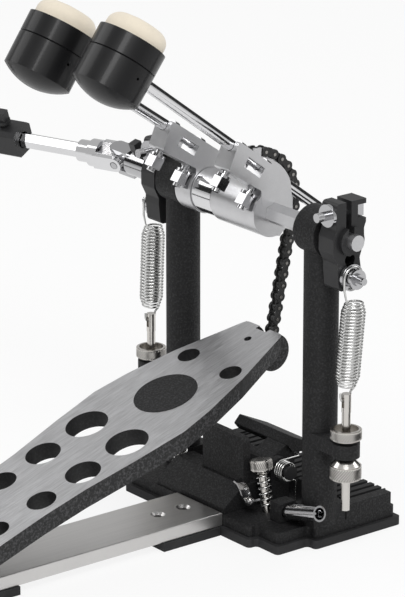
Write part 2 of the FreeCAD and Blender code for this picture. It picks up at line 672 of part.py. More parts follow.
# Rockers on the outer ends of the axles, with their springs and tension rods.
BASE_EDGE = {1: "base_x", -1: "(base_x - base_trim)"}
ROCKER_OUT = "rocker_x + rocker_w"
for side, name in ((1, "right"), (-1, "left")):
    front = [("-9", "-rocker_arm - 9"), ("-10.5", "-20"), ("-10.5", "-15"), ("-14.5", "-7"), ("-14.5", "3"),
             ("-12", "stud_z - 9"), ("-12", "rocker_top")]
    back = [("13.6", "rocker_top"), ("13.6", "stud_z - 7"), ("12", "7"), ("12.2", "-2"), ("8.4", "-13"),
            ("9.5", "-20"), ("9", "-rocker_arm - 9")]
    start, length = span(side, "rocker_x", ROCKER_OUT)
    plate = prism("YZ_Plane", front + back, length, start)
    soften(plate, "3", lambda e: runs_along(e, "x") and e.CenterOfMass.y < 13)
    mid = "%d * (rocker_x + rocker_w / 2)" % side
    through = ("rocker_x - 5", ROCKER_OUT + " + 5")
    rocker = cut(fuse(plate, xcyl(side, "10", ROCKER_OUT + " - 1", ROCKER_OUT + " + 3")),
                 xcyl(side, "axle_r + 0.02", *through),
                 xbox(side, *through, "-3.6", "1", "axle_r", "rocker_top + 1"),
                 xbox(side, *through, "6.5", "20", "stud_z - 4.2", "rocker_top - 3.4"),
                 xcyl(side, "4.3", *through, "0", "-(axle_r + rocker_arm - 3.02) / 2 + 0.5"),
                 xcyl(side, "3.02", *through, "0", "-rocker_arm"),
                 cyl("3.25", "60", (mid, "-30", "stud_z"), "y"))
    node("rocker_" + name, moved(rocker, AXLE))
    stud = fuse(cyl("3.15", "32", (mid, "-23", "stud_z"), "y"), cyl("7.75", "2.4", (mid, "-14.5", "stud_z"), "y"),
                box(("7", "8", "8"), (mid + " - 3.5", "6.8", "stud_z - 4")))
    roller = fuse(xcyl(side, "coil_r + 1.7", "spring_x - 4.4", "spring_x - 2"),
                  xcyl(side, "coil_r - wire_r - gap", "spring_x - 3", "spring_x + 3"),
                  xcyl(side, "coil_r - wire_r + 0.1", "spring_x + 2", "spring_x + 3.6"),
                  xcyl(side, "3", "rocker_x + 1", "spring_x + 4"),
                  xcyl(side, "4.2", "spring_x + 3", "spring_x + 5.6"),
                  xcyl(side, "2.4", "spring_x + 4", "spring_x + 10"))
    node("rocker_%s_fittings" % name, moved(group(stud, moved(roller, (0, 0, "-rocker_arm"))), AXLE))
    tension_spring("spring_" + name, side)
    cup_top = "ear_z + ear_h / 2 + 9.8"
    cup = fuse(cone("6.4", "nut_r", "1.3", (0, 0, cup_top + " - 8.6")),
               cyl("nut_r", "7.3", (0, 0, cup_top + " - 7.3")))
    cup = cut(cup, cyl("nut_r - nut_wall", "nut_cup + 1", (0, 0, cup_top + " - nut_cup")))
    nut_top = "ear_z - ear_h / 2 - 5.8"
    rod = fuse(cyl("tension_r", "eye_z + 2 - rod_low", (0, 0, "rod_low")),
               cyl("tension_r + 0.25", "13", (0, 0, "eye_z - 11")), cup,
               cone("nut_r", "5.2", "5", (0, 0, nut_top)), cyl("nut_r", "10", (0, 0, nut_top + " - 10")))
    eye = box(("2 * (wire_r + hook_gap)", "4 * tension_r", "7.4"),
              ("-wire_r - hook_gap", "-2 * tension_r", "eye_z - 7.6"))
    node("tension_rod_" + name, moved(cut(rod, eye), ("%d * ear_x" % side, "-ear_back", 0)))

# Posts with bearing boss and spring ear.
for side, name in ((1, "right"), (-1, "left")):
    ear_x = "%d * ear_x" % side
    ear_low = "ear_z - ear_h / 2"
    column = fuse(cyl("post_r", "axle_z - base_top", ("%d * post_x" % side, 0, "base_top")),
                  xcyl(side, "boss_r", "post_x - boss_w / 2", "post_x + boss_w / 2", "0", "axle_z"),
                  xbox(side, "post_x - post_r", BASE_EDGE[side], "-foot_front", "16", "base_top", "wall_top + 3"),
                  xbox(side, "post_x", "ear_x", "-ear_back - 7.5", "-ear_back + 7.5",
                       ear_low, ear_low + " + ear_h"),
                  cyl("9.5", "ear_h", (ear_x, "-ear_back", ear_low)))
    post = cut(column, cyl("tension_r + 1.3", "4 * ear_h", (ear_x, "-ear_back", "ear_z - 2 * ear_h")),
               cone("7.6", "tension_r + 1.3", "ear_h / 2", (ear_x, "-ear_back", ear_low)),
               xcyl(side, "axle_r + axle_clear", "post_x - 40", "post_x + 40", "0", "axle_z"))
    node("post_" + name, post)


# Beaters: rod, head and felt, upright around the axle like their holders.
def beater_head():
    """A short drum with a groove, a seat for the felt, and a domed end."""
    drum = turned([("-head_half", "0"), ("-head_half", "head_r"), ("head_half - 15.5", "head_r"),
                   ("head_half - 15", "head_r - 0.6"), ("head_half - 14.5", "head_r"),
                   ("head_half", "head_r"), ("head_half", "felt_r + 0.2"), ("head_half - 3", "felt_r + 0.2"),
                   ("head_half - 3", "0")])
    ball_r = "(head_r * head_r + head_dome * head_dome) / (2 * head_dome)"
    ball = bind(fresh("Part::Sphere", "ball"), Radius=ball_r)
    place(ball, (0, ball_r + " - head_half - head_dome", 0))
    dome = fresh("Part::MultiCommon", "dome")
    dome.Shapes = [ball, box(("4 * head_r", "2 * head_dome", "4 * head_r"),
                             ("-2 * head_r", "-head_half - 2 * head_dome", "-2 * head_r"))]
    socket = cyl("rod_r + 0.02", "head_r + 2", (0, 0, "-head_r - 2"))
    return cut(fuse(drum, dome), socket, cyl("1", "8", ("head_r - 6", "-4.5", "0"), "x"))


for name, where, lean in (("right", "right_x", "lean_right"), ("left", "-left_x", "lean_left")):
    hung("beater_%s_rod" % name, cyl("rod_r", "rod_tail + head_up", (where, "rod_off", "-rod_tail")), lean)
    hung("beater_%s_head" % name, moved(beater_head(), (where, "rod_off", "head_up")), lean)
    end = "head_half + felt_out"
    felt = turned([("head_half - 2.9", "0"), ("head_half - 2.9", "felt_r"), (end + " - 7", "felt_r"),
                   (end + " - 4", "felt_r - 1.2"), (end + " - 1.6", "felt_r - 4"), (end, "felt_r - 9"),
                   (end, "0")])
    hung("beater_%s_felt" % name, moved(felt, (where, "rod_off", "head_up")), lean)


# Footboards with their toe lug for the chain.
def top_at(y):
    return "heel_z + board_rise + (%s - heel_y) * tan(board_slope)" % y


def along(share):
    """A place on the footboard, as a share of the run from heel to bend."""
    return "(heel_y + %s * (bend_y - heel_y))" % share


def on_board(radius, height, x, y, sink):
    """A round across the footboard's slope, sunk under its top by a length."""
    obj = bind(fresh("Part::Cylinder", "round"), Radius=radius, Height=height)
    spot = (x, "%s + (%s) * sin(board_slope)" % (y, sink), "%s - (%s) * cos(board_slope)" % (top_at(y), sink))
    return place(obj, spot, (1, 0, 0), "board_slope")


def footboard():
    toe = "toe_y - toe_back"
    drop = "board_t / cos(board_slope)"
    toe_top = "bend_z + (%s - bend_y) * tan(toe_slope)" % toe
    side = [("heel_y", "heel_z + 5.6"), ("heel_y + 12", top_at("(heel_y + 12)")), ("bend_y", "bend_z"),
            (toe, toe_top), (toe, toe_top + " - board_t"), ("bend_y + 2", "bend_z - board_t * 1.03"),
            ("heel_y + 34", "%s - %s" % (top_at("(heel_y + 34)"), drop)), ("heel_y", "heel_z - 4")]
    slab = prism("YZ_Plane", side, "120", "-60")
    half = [("toe_half", toe), ("37.5", "bend_y + 5"), ("46.5", along(0.884)), ("50", along(0.788)),
            ("46.5", along(0.653)), ("41", along(0.498)), ("39", along(0.371)), ("39.2", along(0.243)),
            ("39.5", along(0.135)), ("39.5", "heel_y + 9"), ("knuckle_half", "heel_y + 9"),
            ("knuckle_half", "heel_y")]
    plan = prism("XY_Plane", half + [("-" + x, y) for x, y in reversed(half)], "200")
    first = num("heel_y") + 21
    last = num("bend_y") + 22
    soften(plan, "18", lambda e: runs_along(e, "z") and first < e.CenterOfMass.y < last)
    soften(plan, "5", lambda e: runs_along(e, "z") and e.CenterOfMass.y > last)
    board = fresh("Part::MultiCommon", "board")
    board.Shapes = [slab, plan]
    over = prism("YZ_Plane", [("bend_y", "bend_z"), ("bend_y + 100", "bend_z + 100 * tan(toe_slope)"),
                              ("bend_y + 100", "bend_z + 150"), ("bend_y", "bend_z + 150")], "120", "-60")
    lobes = [cut(cyl("lobe_r", "toe_half - notch_half", (x, "toe_y - lobe_back", "toe_z - 0.9"), "x"), over)
             for x in ("notch_half", "-toe_half")]
    knuckle = cyl("knuckle_r", "2 * knuckle_half", ("-knuckle_half", "heel_y", "heel_z"), "x")
    lug = fuse(cyl("lug_r", "4.4", ("-2.2", "toe_y + 3.2", "toe_z"), "x"),
               box(("4.4", "18.2", "2 * lug_r"), ("-2.2", "toe_y - 15", "toe_z - lug_r")))
    notch = box(("2 * notch_half", "14", "60"), ("-notch_half", "toe_y - 8.5", "toe_z - 30"))
    holes = [cyl("hinge_r + 0.3", "60", ("-30", "heel_y", "heel_z"), "x"),
             on_board("2.7", "80", "0", "(toe_y - 20.2)", "40")]
    for x, y, r in ((23, "(bend_y + 6)", 7.9), (22.5, along(0.683), 15.1), (22.5, along(0.541), 12.5),
                    (22.5, along(0.409), 10.3), (21, along(0.273), 8.5)):
        holes += [on_board(str(r), "80", str(sign * x), y, "40") for sign in (1, -1)]
    recess = on_board("badge_r + 0.2", "20", "0", "badge_y", "1")
    slot = box(("10", "5.9", "3.5"), ("-5", "toe_y - 1.65", "toe_z - 1.75"))
    return cut(fuse(cut(fuse(board, knuckle, *lobes), notch, recess, *holes), lug), slot)


def badge():
    return on_board("badge_r", "1.3", "0", "badge_y", "1")


node("footboard", footboard())
node("badge", badge())


# Heel plate, base bar and pads, alike on both pedals.
def heel_plate():
    half = [("38", "heel_y - 9"), ("39.5", "heel_y - 40"), ("36", "heel_y - 84"), ("26", "heel_y - 95")]
    outline = half + [("-" + x, y) for x, y in reversed(half)]
    plate = prism("XY_Plane", outline, "heel_z + 4 - bar_top", "bar_top")
    soften(plate, "7", lambda e: runs_along(e, "z") and e.CenterOfMass.y < num("heel_y") - 60)
    soften(plate, "1.5", lambda e: e.CenterOfMass.z > num("heel_z") + 3.9)
    knuckles = []
    for side in (1, -1):
        knuckles.append(xcyl(side, "knuckle_r", "knuckle_half + 0.6", "39", "heel_y", "heel_z"))
        knuckles.append(xbox(side, "knuckle_half + 0.6", "38", "heel_y - 16", "heel_y",
                             "bar_top + 0.6", "heel_z + 4"))
    return fuse(plate, *knuckles, cyl("hinge_r", "80", ("-40", "heel_y", "heel_z"), "x"))


def base_bar():
    end = "base_front - 0.5"
    bar = prism("XY_Plane", [("-bar_w / 2", "bar_end"), ("bar_w / 2", "bar_end"), ("bar_w / 2", end),
                             ("-bar_w / 2", end)], "bar_t", "mat_h")
    soften(bar, "0.8", lambda e: not runs_along(e, "z"))
    holes = []
    for y in ("base_front - 15", "base_front - 37"):
        holes.append(cyl("3.2", "20", ("0", y, "mat_h - 2")))
        holes.append(cone("3.2", "5", "1.8", ("0", y, "bar_top - 1.8")))
    return cut(bar, *holes)


def bar_pad(start, length):
    return box(("bar_w + 3", length, "mat_h"), ("-(bar_w + 3) / 2", start, "0"))


def front_pad():
    return bar_pad("base_front - mat_lip - 49", "48.6")


def bar_pads():
    return group(bar_pad("heel_y + 1", "84"), bar_pad("bar_end", "46"))


node("heel_plate", heel_plate())
node("base_bar", base_bar())
node("bar_pads", bar_pads())

# Main base: casting, mat and hoop pad.
SPURS = {1: ("spur_x", "spur_y", "base_top"), -1: ("spur_left_x", "spur_left_y", "base_top")}


def on_spur(side, obj):
    """Put an upright piece on the leaning axis of a spur."""
    return moved(obj, SPURS[side], (0, 1, 0), "%d * spur_tilt" % -side)


def on_screw(obj):
    """Put a piece drawn along X on the rising axis of the clamp screw."""
    return moved(obj, ("screw_x", "screw_y", "screw_z"), (0, 1, 0), "-screw_tilt")


def base_outline(lip):
    """Outline of the base with a stepped front corner on the right, grown by a lip."""
    side_x = "base_x + " + lip
    corner = "base_x - corner_x + " + lip
    step = "base_front + step_y - " + lip
    front = "base_front - " + lip
    back = "base_back + " + lip
    left = "-(%s + %s)" % (BASE_EDGE[-1], lip)
    return [(side_x, back), (side_x, "corner_y - " + lip), (corner, "corner_y - " + lip), (corner, step),
            ("step_x + " + lip, step), ("step_x + " + lip, front), (left, front), (left, back)]


mat = prism("XY_Plane", base_outline("mat_lip"), "mat_h", "0")
soften(mat, "3", lambda e: runs_along(e, "z"))
plate = prism("XY_Plane", base_outline("0"), "base_t", "mat_h")
soften(plate, "3", lambda e: runs_along(e, "z"))
wedge = prism("YZ_Plane", [("base_front + 1", "base_top - 1"), ("base_front + 1", "18"), ("-26", "31"),
                           ("-11", "31"), ("-11", "base_top - 1")], "75", "-50")
wall = prism("XZ_Plane", [("-22.5", "28"), ("22.5", "28"), ("22.5", "64"), ("-22.5", "64")], "6", "18")
soften(wall, "5", lambda e: runs_along(e, "y") and e.CenterOfMass.z > 60)
masses = [plate, wedge, wall,
          xbox(1, "screw_x - 1", "post_x - post_r - gap", "screw_y - 5.8", "screw_y + 8",
               "base_top - 1", "screw_z + 9")]
holes = [on_screw(cyl("screw_r + gap", "40", ("-1", 0, 0), "x"))]
for side in (1, -1):
    ear = ("jaw_ear", "jaw_ear + ear_wall")
    masses.append(xbox(side, BASE_EDGE[side] + " - 8", BASE_EDGE[side], "17", "base_back - 4",
                       "base_top - 1", "wall_top"))
    masses.append(xbox(side, *ear, "jaw_y - 8", "jaw_y + 8", "base_top - 1", "jaw_z"))
    masses.append(xcyl(side, "8", *ear, "jaw_y", "jaw_z"))
    holes.append(xcyl(side, "pivot_r + 0.02", "jaw_ear - 8", "jaw_ear + 20", "jaw_y", "jaw_z"))
    holes.append(on_spur(side, cyl("spur_r + gap", "80", (0, 0, "-40"))))
node("base_casting", cut(fuse(*masses), *holes))
mat_holes = [on_spur(side, cyl("spur_r + gap", "80", (0, 0, "-40"))) for side in (1, -1)]
node("base_mat", group(cut(mat, *mat_holes), front_pad()))
pad_w = "(2 * base_x - base_trim - 18)"
pad_left = "-(base_x - base_trim - 9)"
ribs = [box(("3", "60", "3"), ("%s + 1.1 + %d * (%s + 2) / 20" % (pad_left, i, pad_w), "20", "pad_top - 1.8"))
        for i in range(20)]
node("hoop_pad", cut(box((pad_w, "base_back - 26", "pad_top - base_top"), (pad_left, "25", "base_top")), *ribs))

# Hoop jaw with its pivot, return spring and clamp screw.
arm = prism("YZ_Plane", [("-4", "jaw_z - 6"), ("4", "jaw_z - 7"), ("18", "jaw_z - 1"), ("18", "jaw_z + 12"),
                         ("11", "jaw_z + 13.5"), ("-6", "jaw_z + 5")], "jaw_ear - 1 - arm_from", "arm_from")
lip = prism("YZ_Plane", [("9.8", "jaw_z + 13"), ("14", "jaw_z + 8"), ("37", "jaw_z + 3.6"),
                         ("40.5", "jaw_z + 4"), ("40.5", "jaw_z + 6.4"), ("15", "jaw_z + 18.5")],
            "2 * jaw_half", "-jaw_half")
soften(lip, "1", lambda e: runs_along(e, "x"))
barrel = cyl("7.4", "2 * (jaw_ear - 1)", ("1 - jaw_ear", "jaw_y", "jaw_z"), "x")
node("hoop_jaw", cut(fuse(arm, lip, barrel), cyl("pivot_r + gap", "80", ("-40", "jaw_y", "jaw_z"), "x")))
pivot_end = "(jaw_ear + ear_wall + 11)"
node("jaw_pivot", fuse(cyl("pivot_r", "2 * " + pivot_end, ("-" + pivot_end, "jaw_y", "jaw_z"), "x"),
                       xcyl(1, "5", pivot_end + " - 0.5", pivot_end + " + 1.5", "jaw_y", "jaw_z"),
                       xcyl(-1, "5", pivot_end + " - 0.5", pivot_end + " + 1.5", "jaw_y", "jaw_z")))
mouth = cyl("sleeve_r - 1.3", "sleeve_to", ("sleeve_from + 8", 0, 0), "x")
key = fuse(box(("sleeve_to - sleeve_from - 16", "4.4", "4.4"), ("sleeve_from + 7", "-2.2", "-2.2")),
           cone("1.9", "0.8", "5", ("sleeve_to - 9.5", 0, 0), "x"))
sleeve = cut(cyl("sleeve_r", "sleeve_to - sleeve_from", ("sleeve_from", 0, 0), "x"), mouth)
node("clamp_screw", on_screw(fuse(sleeve, key, cyl("screw_r", "sleeve_from + 1", (0, 0, 0), "x"))))


def jaw_spring(wire):
    """Curls around the pivot beside the ear: one leg under the jaw's lip, one down to the base."""
    radius = num("pivot_r + 3.4")
    z = num("jaw_z")
    beside = num("jaw_ear + ear_wall") + 1.6
    under = z + 6.6
    pitch = 2.2
    stations = [(V(num("jaw_ear") + 0.4, 16, under), V(1, 0, 0)), (V(beside - 1.6, 16, under), V(1, 0, 0)),
                (V(beside, 14.4, under), V(0, -1, 0)), (V(beside, 0.5, z + radius), V(0, -1, 0))]
    for i in range(0, 15):
        a = math.pi / 2 + math.pi / 2 * i
        point = V(beside + 0.05 + pitch * i / 4, radius * math.cos(a), z + radius * math.sin(a))
        stations.append((point, V(pitch / (2 * math.pi), -radius * math.sin(a), radius * math.cos(a))))
    end = stations[-1][0]
    stations.append((V(end.x + 0.6, radius, z - 6), V(0, 0, -1)))
    stations.append((V(end.x + 0.6, radius, num("base_top") + wire), V(0, 0, -1)))
    return stations


FINE = 0.6
shape, spine = wire_solid(jaw_spring(FINE), FINE)
print("jaw_spring least gap", round(self_gap(spine, FINE), 3), "valid", shape.isValid())
formed("jaw_spring", shape)

# Spurs with their springs.
for side, name in ((1, "right"), (-1, "left")):
    pin = fuse(cyl("spur_r", "spur_coil + 12", (0, 0, "-8")), cone("0.6", "spur_r", "3.5", (0, 0, "-11.5")),
               cone("spur_r + 1", "spur_head_r", "3", (0, 0, "spur_coil + 1.5")),
               cyl("spur_head_r", "7.3", (0, 0, "spur_coil + 4.5")))
    node("spur_" + name, on_spur(side, pin))
    curls = 6
    foot = num("spur_coil_r * sin(spur_tilt)") + FINE + 0.3
    pitch = (num("spur_coil") + 0.6 - foot) / curls
    stations = [coil_station(num("spur_coil_r"), math.pi / 2 * i, foot + pitch * i / 4, pitch / (2 * math.pi))
                for i in range(0, 4 * curls + 1)]
    shape, spine = wire_solid(stations, FINE)
    print("spur_spring", name, "least gap", round(self_gap(spine, FINE), 3), "valid", shape.isValid())
    coil = formed("spur_spring_" + name, shape)
    coil.Placement = FreeCAD.Placement(V(*[num(c) for c in SPURS[side]]),
                                       FreeCAD.Rotation(V(0, 1, 0), -side * num("spur_tilt")))

# Spring clip beside the wall.
clip = prism("XZ_Plane", [("-4", "2"), ("0", "1"), ("3.5", "-3"), ("6.5", "-8"), ("10", "-10.6"),
                          ("13", "-10"), ("15.5", "-7"), ("16.4", "-8"), ("13.6", "-11.4"), ("9.8", "-12"),
                          ("5.5", "-9.2"), ("2.6", "-4"), ("-0.6", "-0.4"), ("-4.4", "0.7")], "7", "0")
node("key_clip", moved(clip, ("25", "-24.3", "33"), (0, 0, 1), "0"))


# Drive shaft: forks with crosses on the axles, bar and tube between them.
def fork(centre, way):
    """Fork on an axle with its cross: arms above and below, drawn at the middle of the swing."""
    items = [xcyl(way, "9.5", "%s - 37.5" % centre, "%s - 15" % centre)]
    for z in ("yoke_in", "-yoke_in - yoke_t"):
        items.append(xbox(way, "%s - 17" % centre, centre, "-yoke_w / 2", "yoke_w / 2", z, "%s + yoke_t" % z))
        items.append(cyl("yoke_w / 2", "yoke_t", ("%d * (%s)" % (way, centre), 0, z)))
    middle = ("%d * (%s)" % (way, centre), 0, 0)
    items.append(box(("9", "9", "9"), ("%d * (%s) - 4.5" % (way, centre), "-4.5", "-4.5")))
    items.append(cyl("cross_r", "2 * (yoke_in + yoke_t)", (middle[0], 0, "-yoke_in - yoke_t")))
    pin = cyl("cross_r", "2 * (yoke_in + yoke_t) + 0.6", (0, "-yoke_in - yoke_t - 0.3", 0), "y")
    items.append(moved(pin, middle, (0, 0, 1), "shaft_turn"))
    return fuse(*items)


def shaft_fork(at, way):
    """Fork of the drive shaft around a joint at a place on its own axis."""
    items = []
    for radius, reach in (("8", "fork_back + 1"), ("10", "24")):
        far = "%s - (%s)" % (at, reach) if way < 0 else "%s + 16" % at
        items.append(cyl(radius, "%s - 16" % reach, (far, 0, 0), "x"))
    for y in ("yoke_in", "-yoke_in - yoke_t"):
        near = "%s - 18" % at if way < 0 else at
        items.append(box(("18", "yoke_t", "yoke_w"), (near, y, "-yoke_w / 2")))
        items.append(cyl("yoke_w / 2", "yoke_t", (at, y, 0), "y"))
    return cut(fuse(*items), cyl("cross_r + cross_gap", "60", (at, "-30", 0), "y"))


SHAFT_SPIN = "atan(tan(half_swing) * cos(shaft_turn)) / (1 deg)"


def on_shaft(obj):
    spun = moved(obj, (0, 0, 0), (1, 0, 0), SHAFT_SPIN)
    return moved(spun, ("-joint_x", 0, "axle_z"), (0, 0, 1), "shaft_turn")


main_fork = cut(fuse(fork("joint_x", -1), cyl("3.4", "6", ("-joint_x + 25", 0, "8")),
                     box(("6.6", "6.6", "7"), ("-joint_x + 21.7", "-3.3", "12.5"))),
                xcyl(-1, "axle_r + 0.02", "axle_end - 20", "axle_end + 0.5"))
node("main_fork", moved(main_fork, AXLE, (1, 0, 0), "half_swing"))
bar = fuse(shaft_fork("0", -1), hexbar("shaft_af", "bar_to - fork_back", ("-bar_to", 0, 0)))
node("shaft_bar", on_shaft(bar))
wide = "tube_w / 2"
slim = "(tube_w / 2 - tube_cut)"
quarter = [(slim, wide), (wide, slim)]
corners = quarter + [(u, "-" + v) for u, v in reversed(quarter)]
corners += [("-" + u, v) for u, v in reversed(corners)]
body = prism("YZ_Plane", corners, "tube_end - tube_from", "-tube_end")
bore = cyl("shaft_af / sqrt(3) + gap", "tube_end - tube_floor - tube_from + 1",
           ("-tube_end + tube_floor", 0, 0), "x")
keys = []
sockets = []
for at in ("-(tube_from + 14)", "-(tube_from + 40)"):
    keys.append(fuse(cyl("3.4", "9", (at, 0, wide + " - 2.4")),
                     box(("6.6", "6.6", "7"), (at + " - 3.3", "-3.3", wide + " + 5")),
                     cyl("5", "2.4", (at, 0, wide + " + 2.4"))))
    sockets.append(cyl("3.42", "9", (at, 0, wide + " - 2.42")))
tube = fuse(cut(body, bore, *sockets), shaft_fork("-shaft_len", 1))
node("shaft_tube", on_shaft(group(tube, *keys)))

# Slave pedal.
SLAVE = ("slave_x", "slave_y", 0)


def on_slave(label, obj):
    return node(label, moved(obj, SLAVE))


def slave_outline(lip):
    x = "slave_post_x + slave_side + " + lip
    return [("-(%s)" % x, "base_front - " + lip), (x, "base_front - " + lip), (x, "slave_back + " + lip),
            ("-(%s)" % x, "slave_back + " + lip)]


slave_plate = prism("XY_Plane", slave_outline("0"), "base_t", "mat_h")
soften(slave_plate, "10", lambda e: runs_along(e, "z"))
slave_mat = prism("XY_Plane", slave_outline("mat_lip"), "mat_h", "0")
soften(slave_mat, "12", lambda e: runs_along(e, "z"))
step = box(("2 * slave_post_x - 8", "20", "14"), ("4 - slave_post_x", "base_front + 4", "base_top - 1"))
on_slave("slave_base", fuse(slave_plate, step))
posts = []
for side in (1, -1):
    column = fuse(cyl("post_r", "axle_z - base_top", ("%d * slave_post_x" % side, 0, "base_top")),
                  xcyl(side, "boss_r", "slave_post_x - 10", "slave_post_x + 10", "0", "axle_z"),
                  xbox(side, "slave_post_x - 15", "slave_post_x + 15", "-16", "16", "base_top", "wall_top"))
    hole = xcyl(side, "axle_r + axle_clear", "slave_post_x - 40", "slave_post_x + 40", "0", "axle_z")
    posts.append(cut(column, hole))
on_slave("slave_posts", group(*posts))
on_slave("slave_bar", base_bar())
on_slave("slave_mat", group(slave_mat, front_pad()))
on_slave("slave_pads", bar_pads())
on_slave("slave_heel_plate", heel_plate())
on_slave("slave_footboard", footboard())
on_slave("slave_badge", badge())
end_fork = moved(fork("slave_arm", 1), (0, 0, 0), (1, 0, 0), "half_swing")
slave_axle = fuse(cyl("axle_r", "slave_post_x + post_r + slave_arm - 12",
                      ("-slave_post_x - post_r - 6", 0, 0), "x"),
                  hexbar("hex_af", "2 * (slave_post_x - post_r - 1)", ("-slave_post_x + post_r + 1", 0, 0)),
                  cyl("hub_r", "26", ("-13", 0, 0), "x"),
                  cyl("9", "4", ("-slave_post_x - post_r - 4.6", 0, 0), "x"), end_fork)
on_slave("slave_axle", moved(group(slave_axle, cam_parts()), AXLE))
chains("slave_", ("slave_x", "slave_y", "axle_z"))

doc.recompute()
faults = [o.Name for o in doc.Objects if "Invalid" in o.State or "Error" in o.State]
for obj in NODES:
    shape = obj.Shape
    if shape.isNull() or not shape.isValid() or shape.Volume <= 0:
        faults.append(obj.Label)
if faults:
    raise RuntimeError("objects at fault: " + ", ".join(faults))
os.makedirs("parts", exist_ok=True)
for obj in NODES:
    obj.Shape.exportStep("parts/%s.step" % obj.Label)
print(len(NODES), "pieces written")
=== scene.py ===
import math

import bmesh
import bpy
from bpy.props import FloatProperty, FloatVectorProperty, IntProperty, PointerProperty
from mathutils import Matrix, Vector, noise


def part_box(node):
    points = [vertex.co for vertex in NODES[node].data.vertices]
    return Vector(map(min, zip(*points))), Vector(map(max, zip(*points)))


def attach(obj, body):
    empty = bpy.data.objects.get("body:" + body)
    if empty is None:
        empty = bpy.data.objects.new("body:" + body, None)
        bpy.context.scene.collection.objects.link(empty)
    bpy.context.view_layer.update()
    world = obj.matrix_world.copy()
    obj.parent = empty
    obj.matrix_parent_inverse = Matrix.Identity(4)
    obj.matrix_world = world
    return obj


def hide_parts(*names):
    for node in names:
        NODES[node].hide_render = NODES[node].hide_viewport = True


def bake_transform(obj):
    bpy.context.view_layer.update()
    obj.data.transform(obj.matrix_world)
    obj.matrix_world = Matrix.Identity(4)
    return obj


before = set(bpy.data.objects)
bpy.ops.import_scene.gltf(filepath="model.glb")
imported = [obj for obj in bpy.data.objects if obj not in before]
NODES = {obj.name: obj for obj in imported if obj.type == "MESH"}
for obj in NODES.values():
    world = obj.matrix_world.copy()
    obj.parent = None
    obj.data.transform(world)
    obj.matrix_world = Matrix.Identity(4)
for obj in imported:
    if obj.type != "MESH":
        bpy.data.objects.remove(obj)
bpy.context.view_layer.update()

bl_info = {
    "name": "Double bass drum pedal",
    "version": (1, 0, 0),
    "blender": (4, 5, 0),
    "location": "3D View > Sidebar > Pedal",
    "description": "Dresses the double bass drum pedal and sets up its studio",
    "category": "Object",
}


def tint(name, description, value):
    return FloatVectorProperty(name=name, description=description, subtype="COLOR", size=3, min=0.0, max=1.0,
                               default=value)


def span(name, description, value):
    return FloatProperty(name=name, description=description, default=value, unit="LENGTH", subtype="DISTANCE",
                         precision=4)


def count(name, description, value, least, most):
    return IntProperty(name=name, description=description, default=value, min=least, max=most)


def swing(name, description, degrees):
    return FloatProperty(name=name, description=description, default=math.radians(degrees), unit="ROTATION",
                         subtype="ANGLE")


class PedalFinishes(bpy.types.PropertyGroup):
    """Colours of the pedal's finishes"""

    board: tint("Board metal", "Brushed metal of the footboards", (0.60, 0.60, 0.61))
    steel: tint("Bar steel", "Brushed steel of the base bars", (0.68, 0.67, 0.66))
    casting: tint("Casting black", "Powder coat on base, posts and jaw", (0.009, 0.009, 0.0095))
    rubber: tint("Rubber", "Mats and pads", (0.020, 0.020, 0.021))
    rocker: tint("Rocker black", "Fine black coat of the rockers", (0.012, 0.012, 0.013))
    alloy: tint("Alloy", "Satin cast alloy of holders and cam", (0.66, 0.66, 0.67))
    chrome: tint("Chrome", "Plated rods and shafts", (0.72, 0.72, 0.73))
    fitting: tint("Fittings", "Plated bolts, studs and forks", (0.48, 0.48, 0.49))
    nickel: tint("Nickel", "Tension rods, nuts and spurs", (0.62, 0.60, 0.57))
    zinc: tint("Spring zinc", "Bright zinc of the springs", (0.64, 0.64, 0.63))
    chain: tint("Chain black", "Blackened chain plates", (0.016, 0.016, 0.016))
    gloss: tint("Beater black", "Moulded black of the beater heads", (0.004, 0.004, 0.0045))
    felt: tint("Felt", "Pressed wool felt", (0.82, 0.74, 0.61))


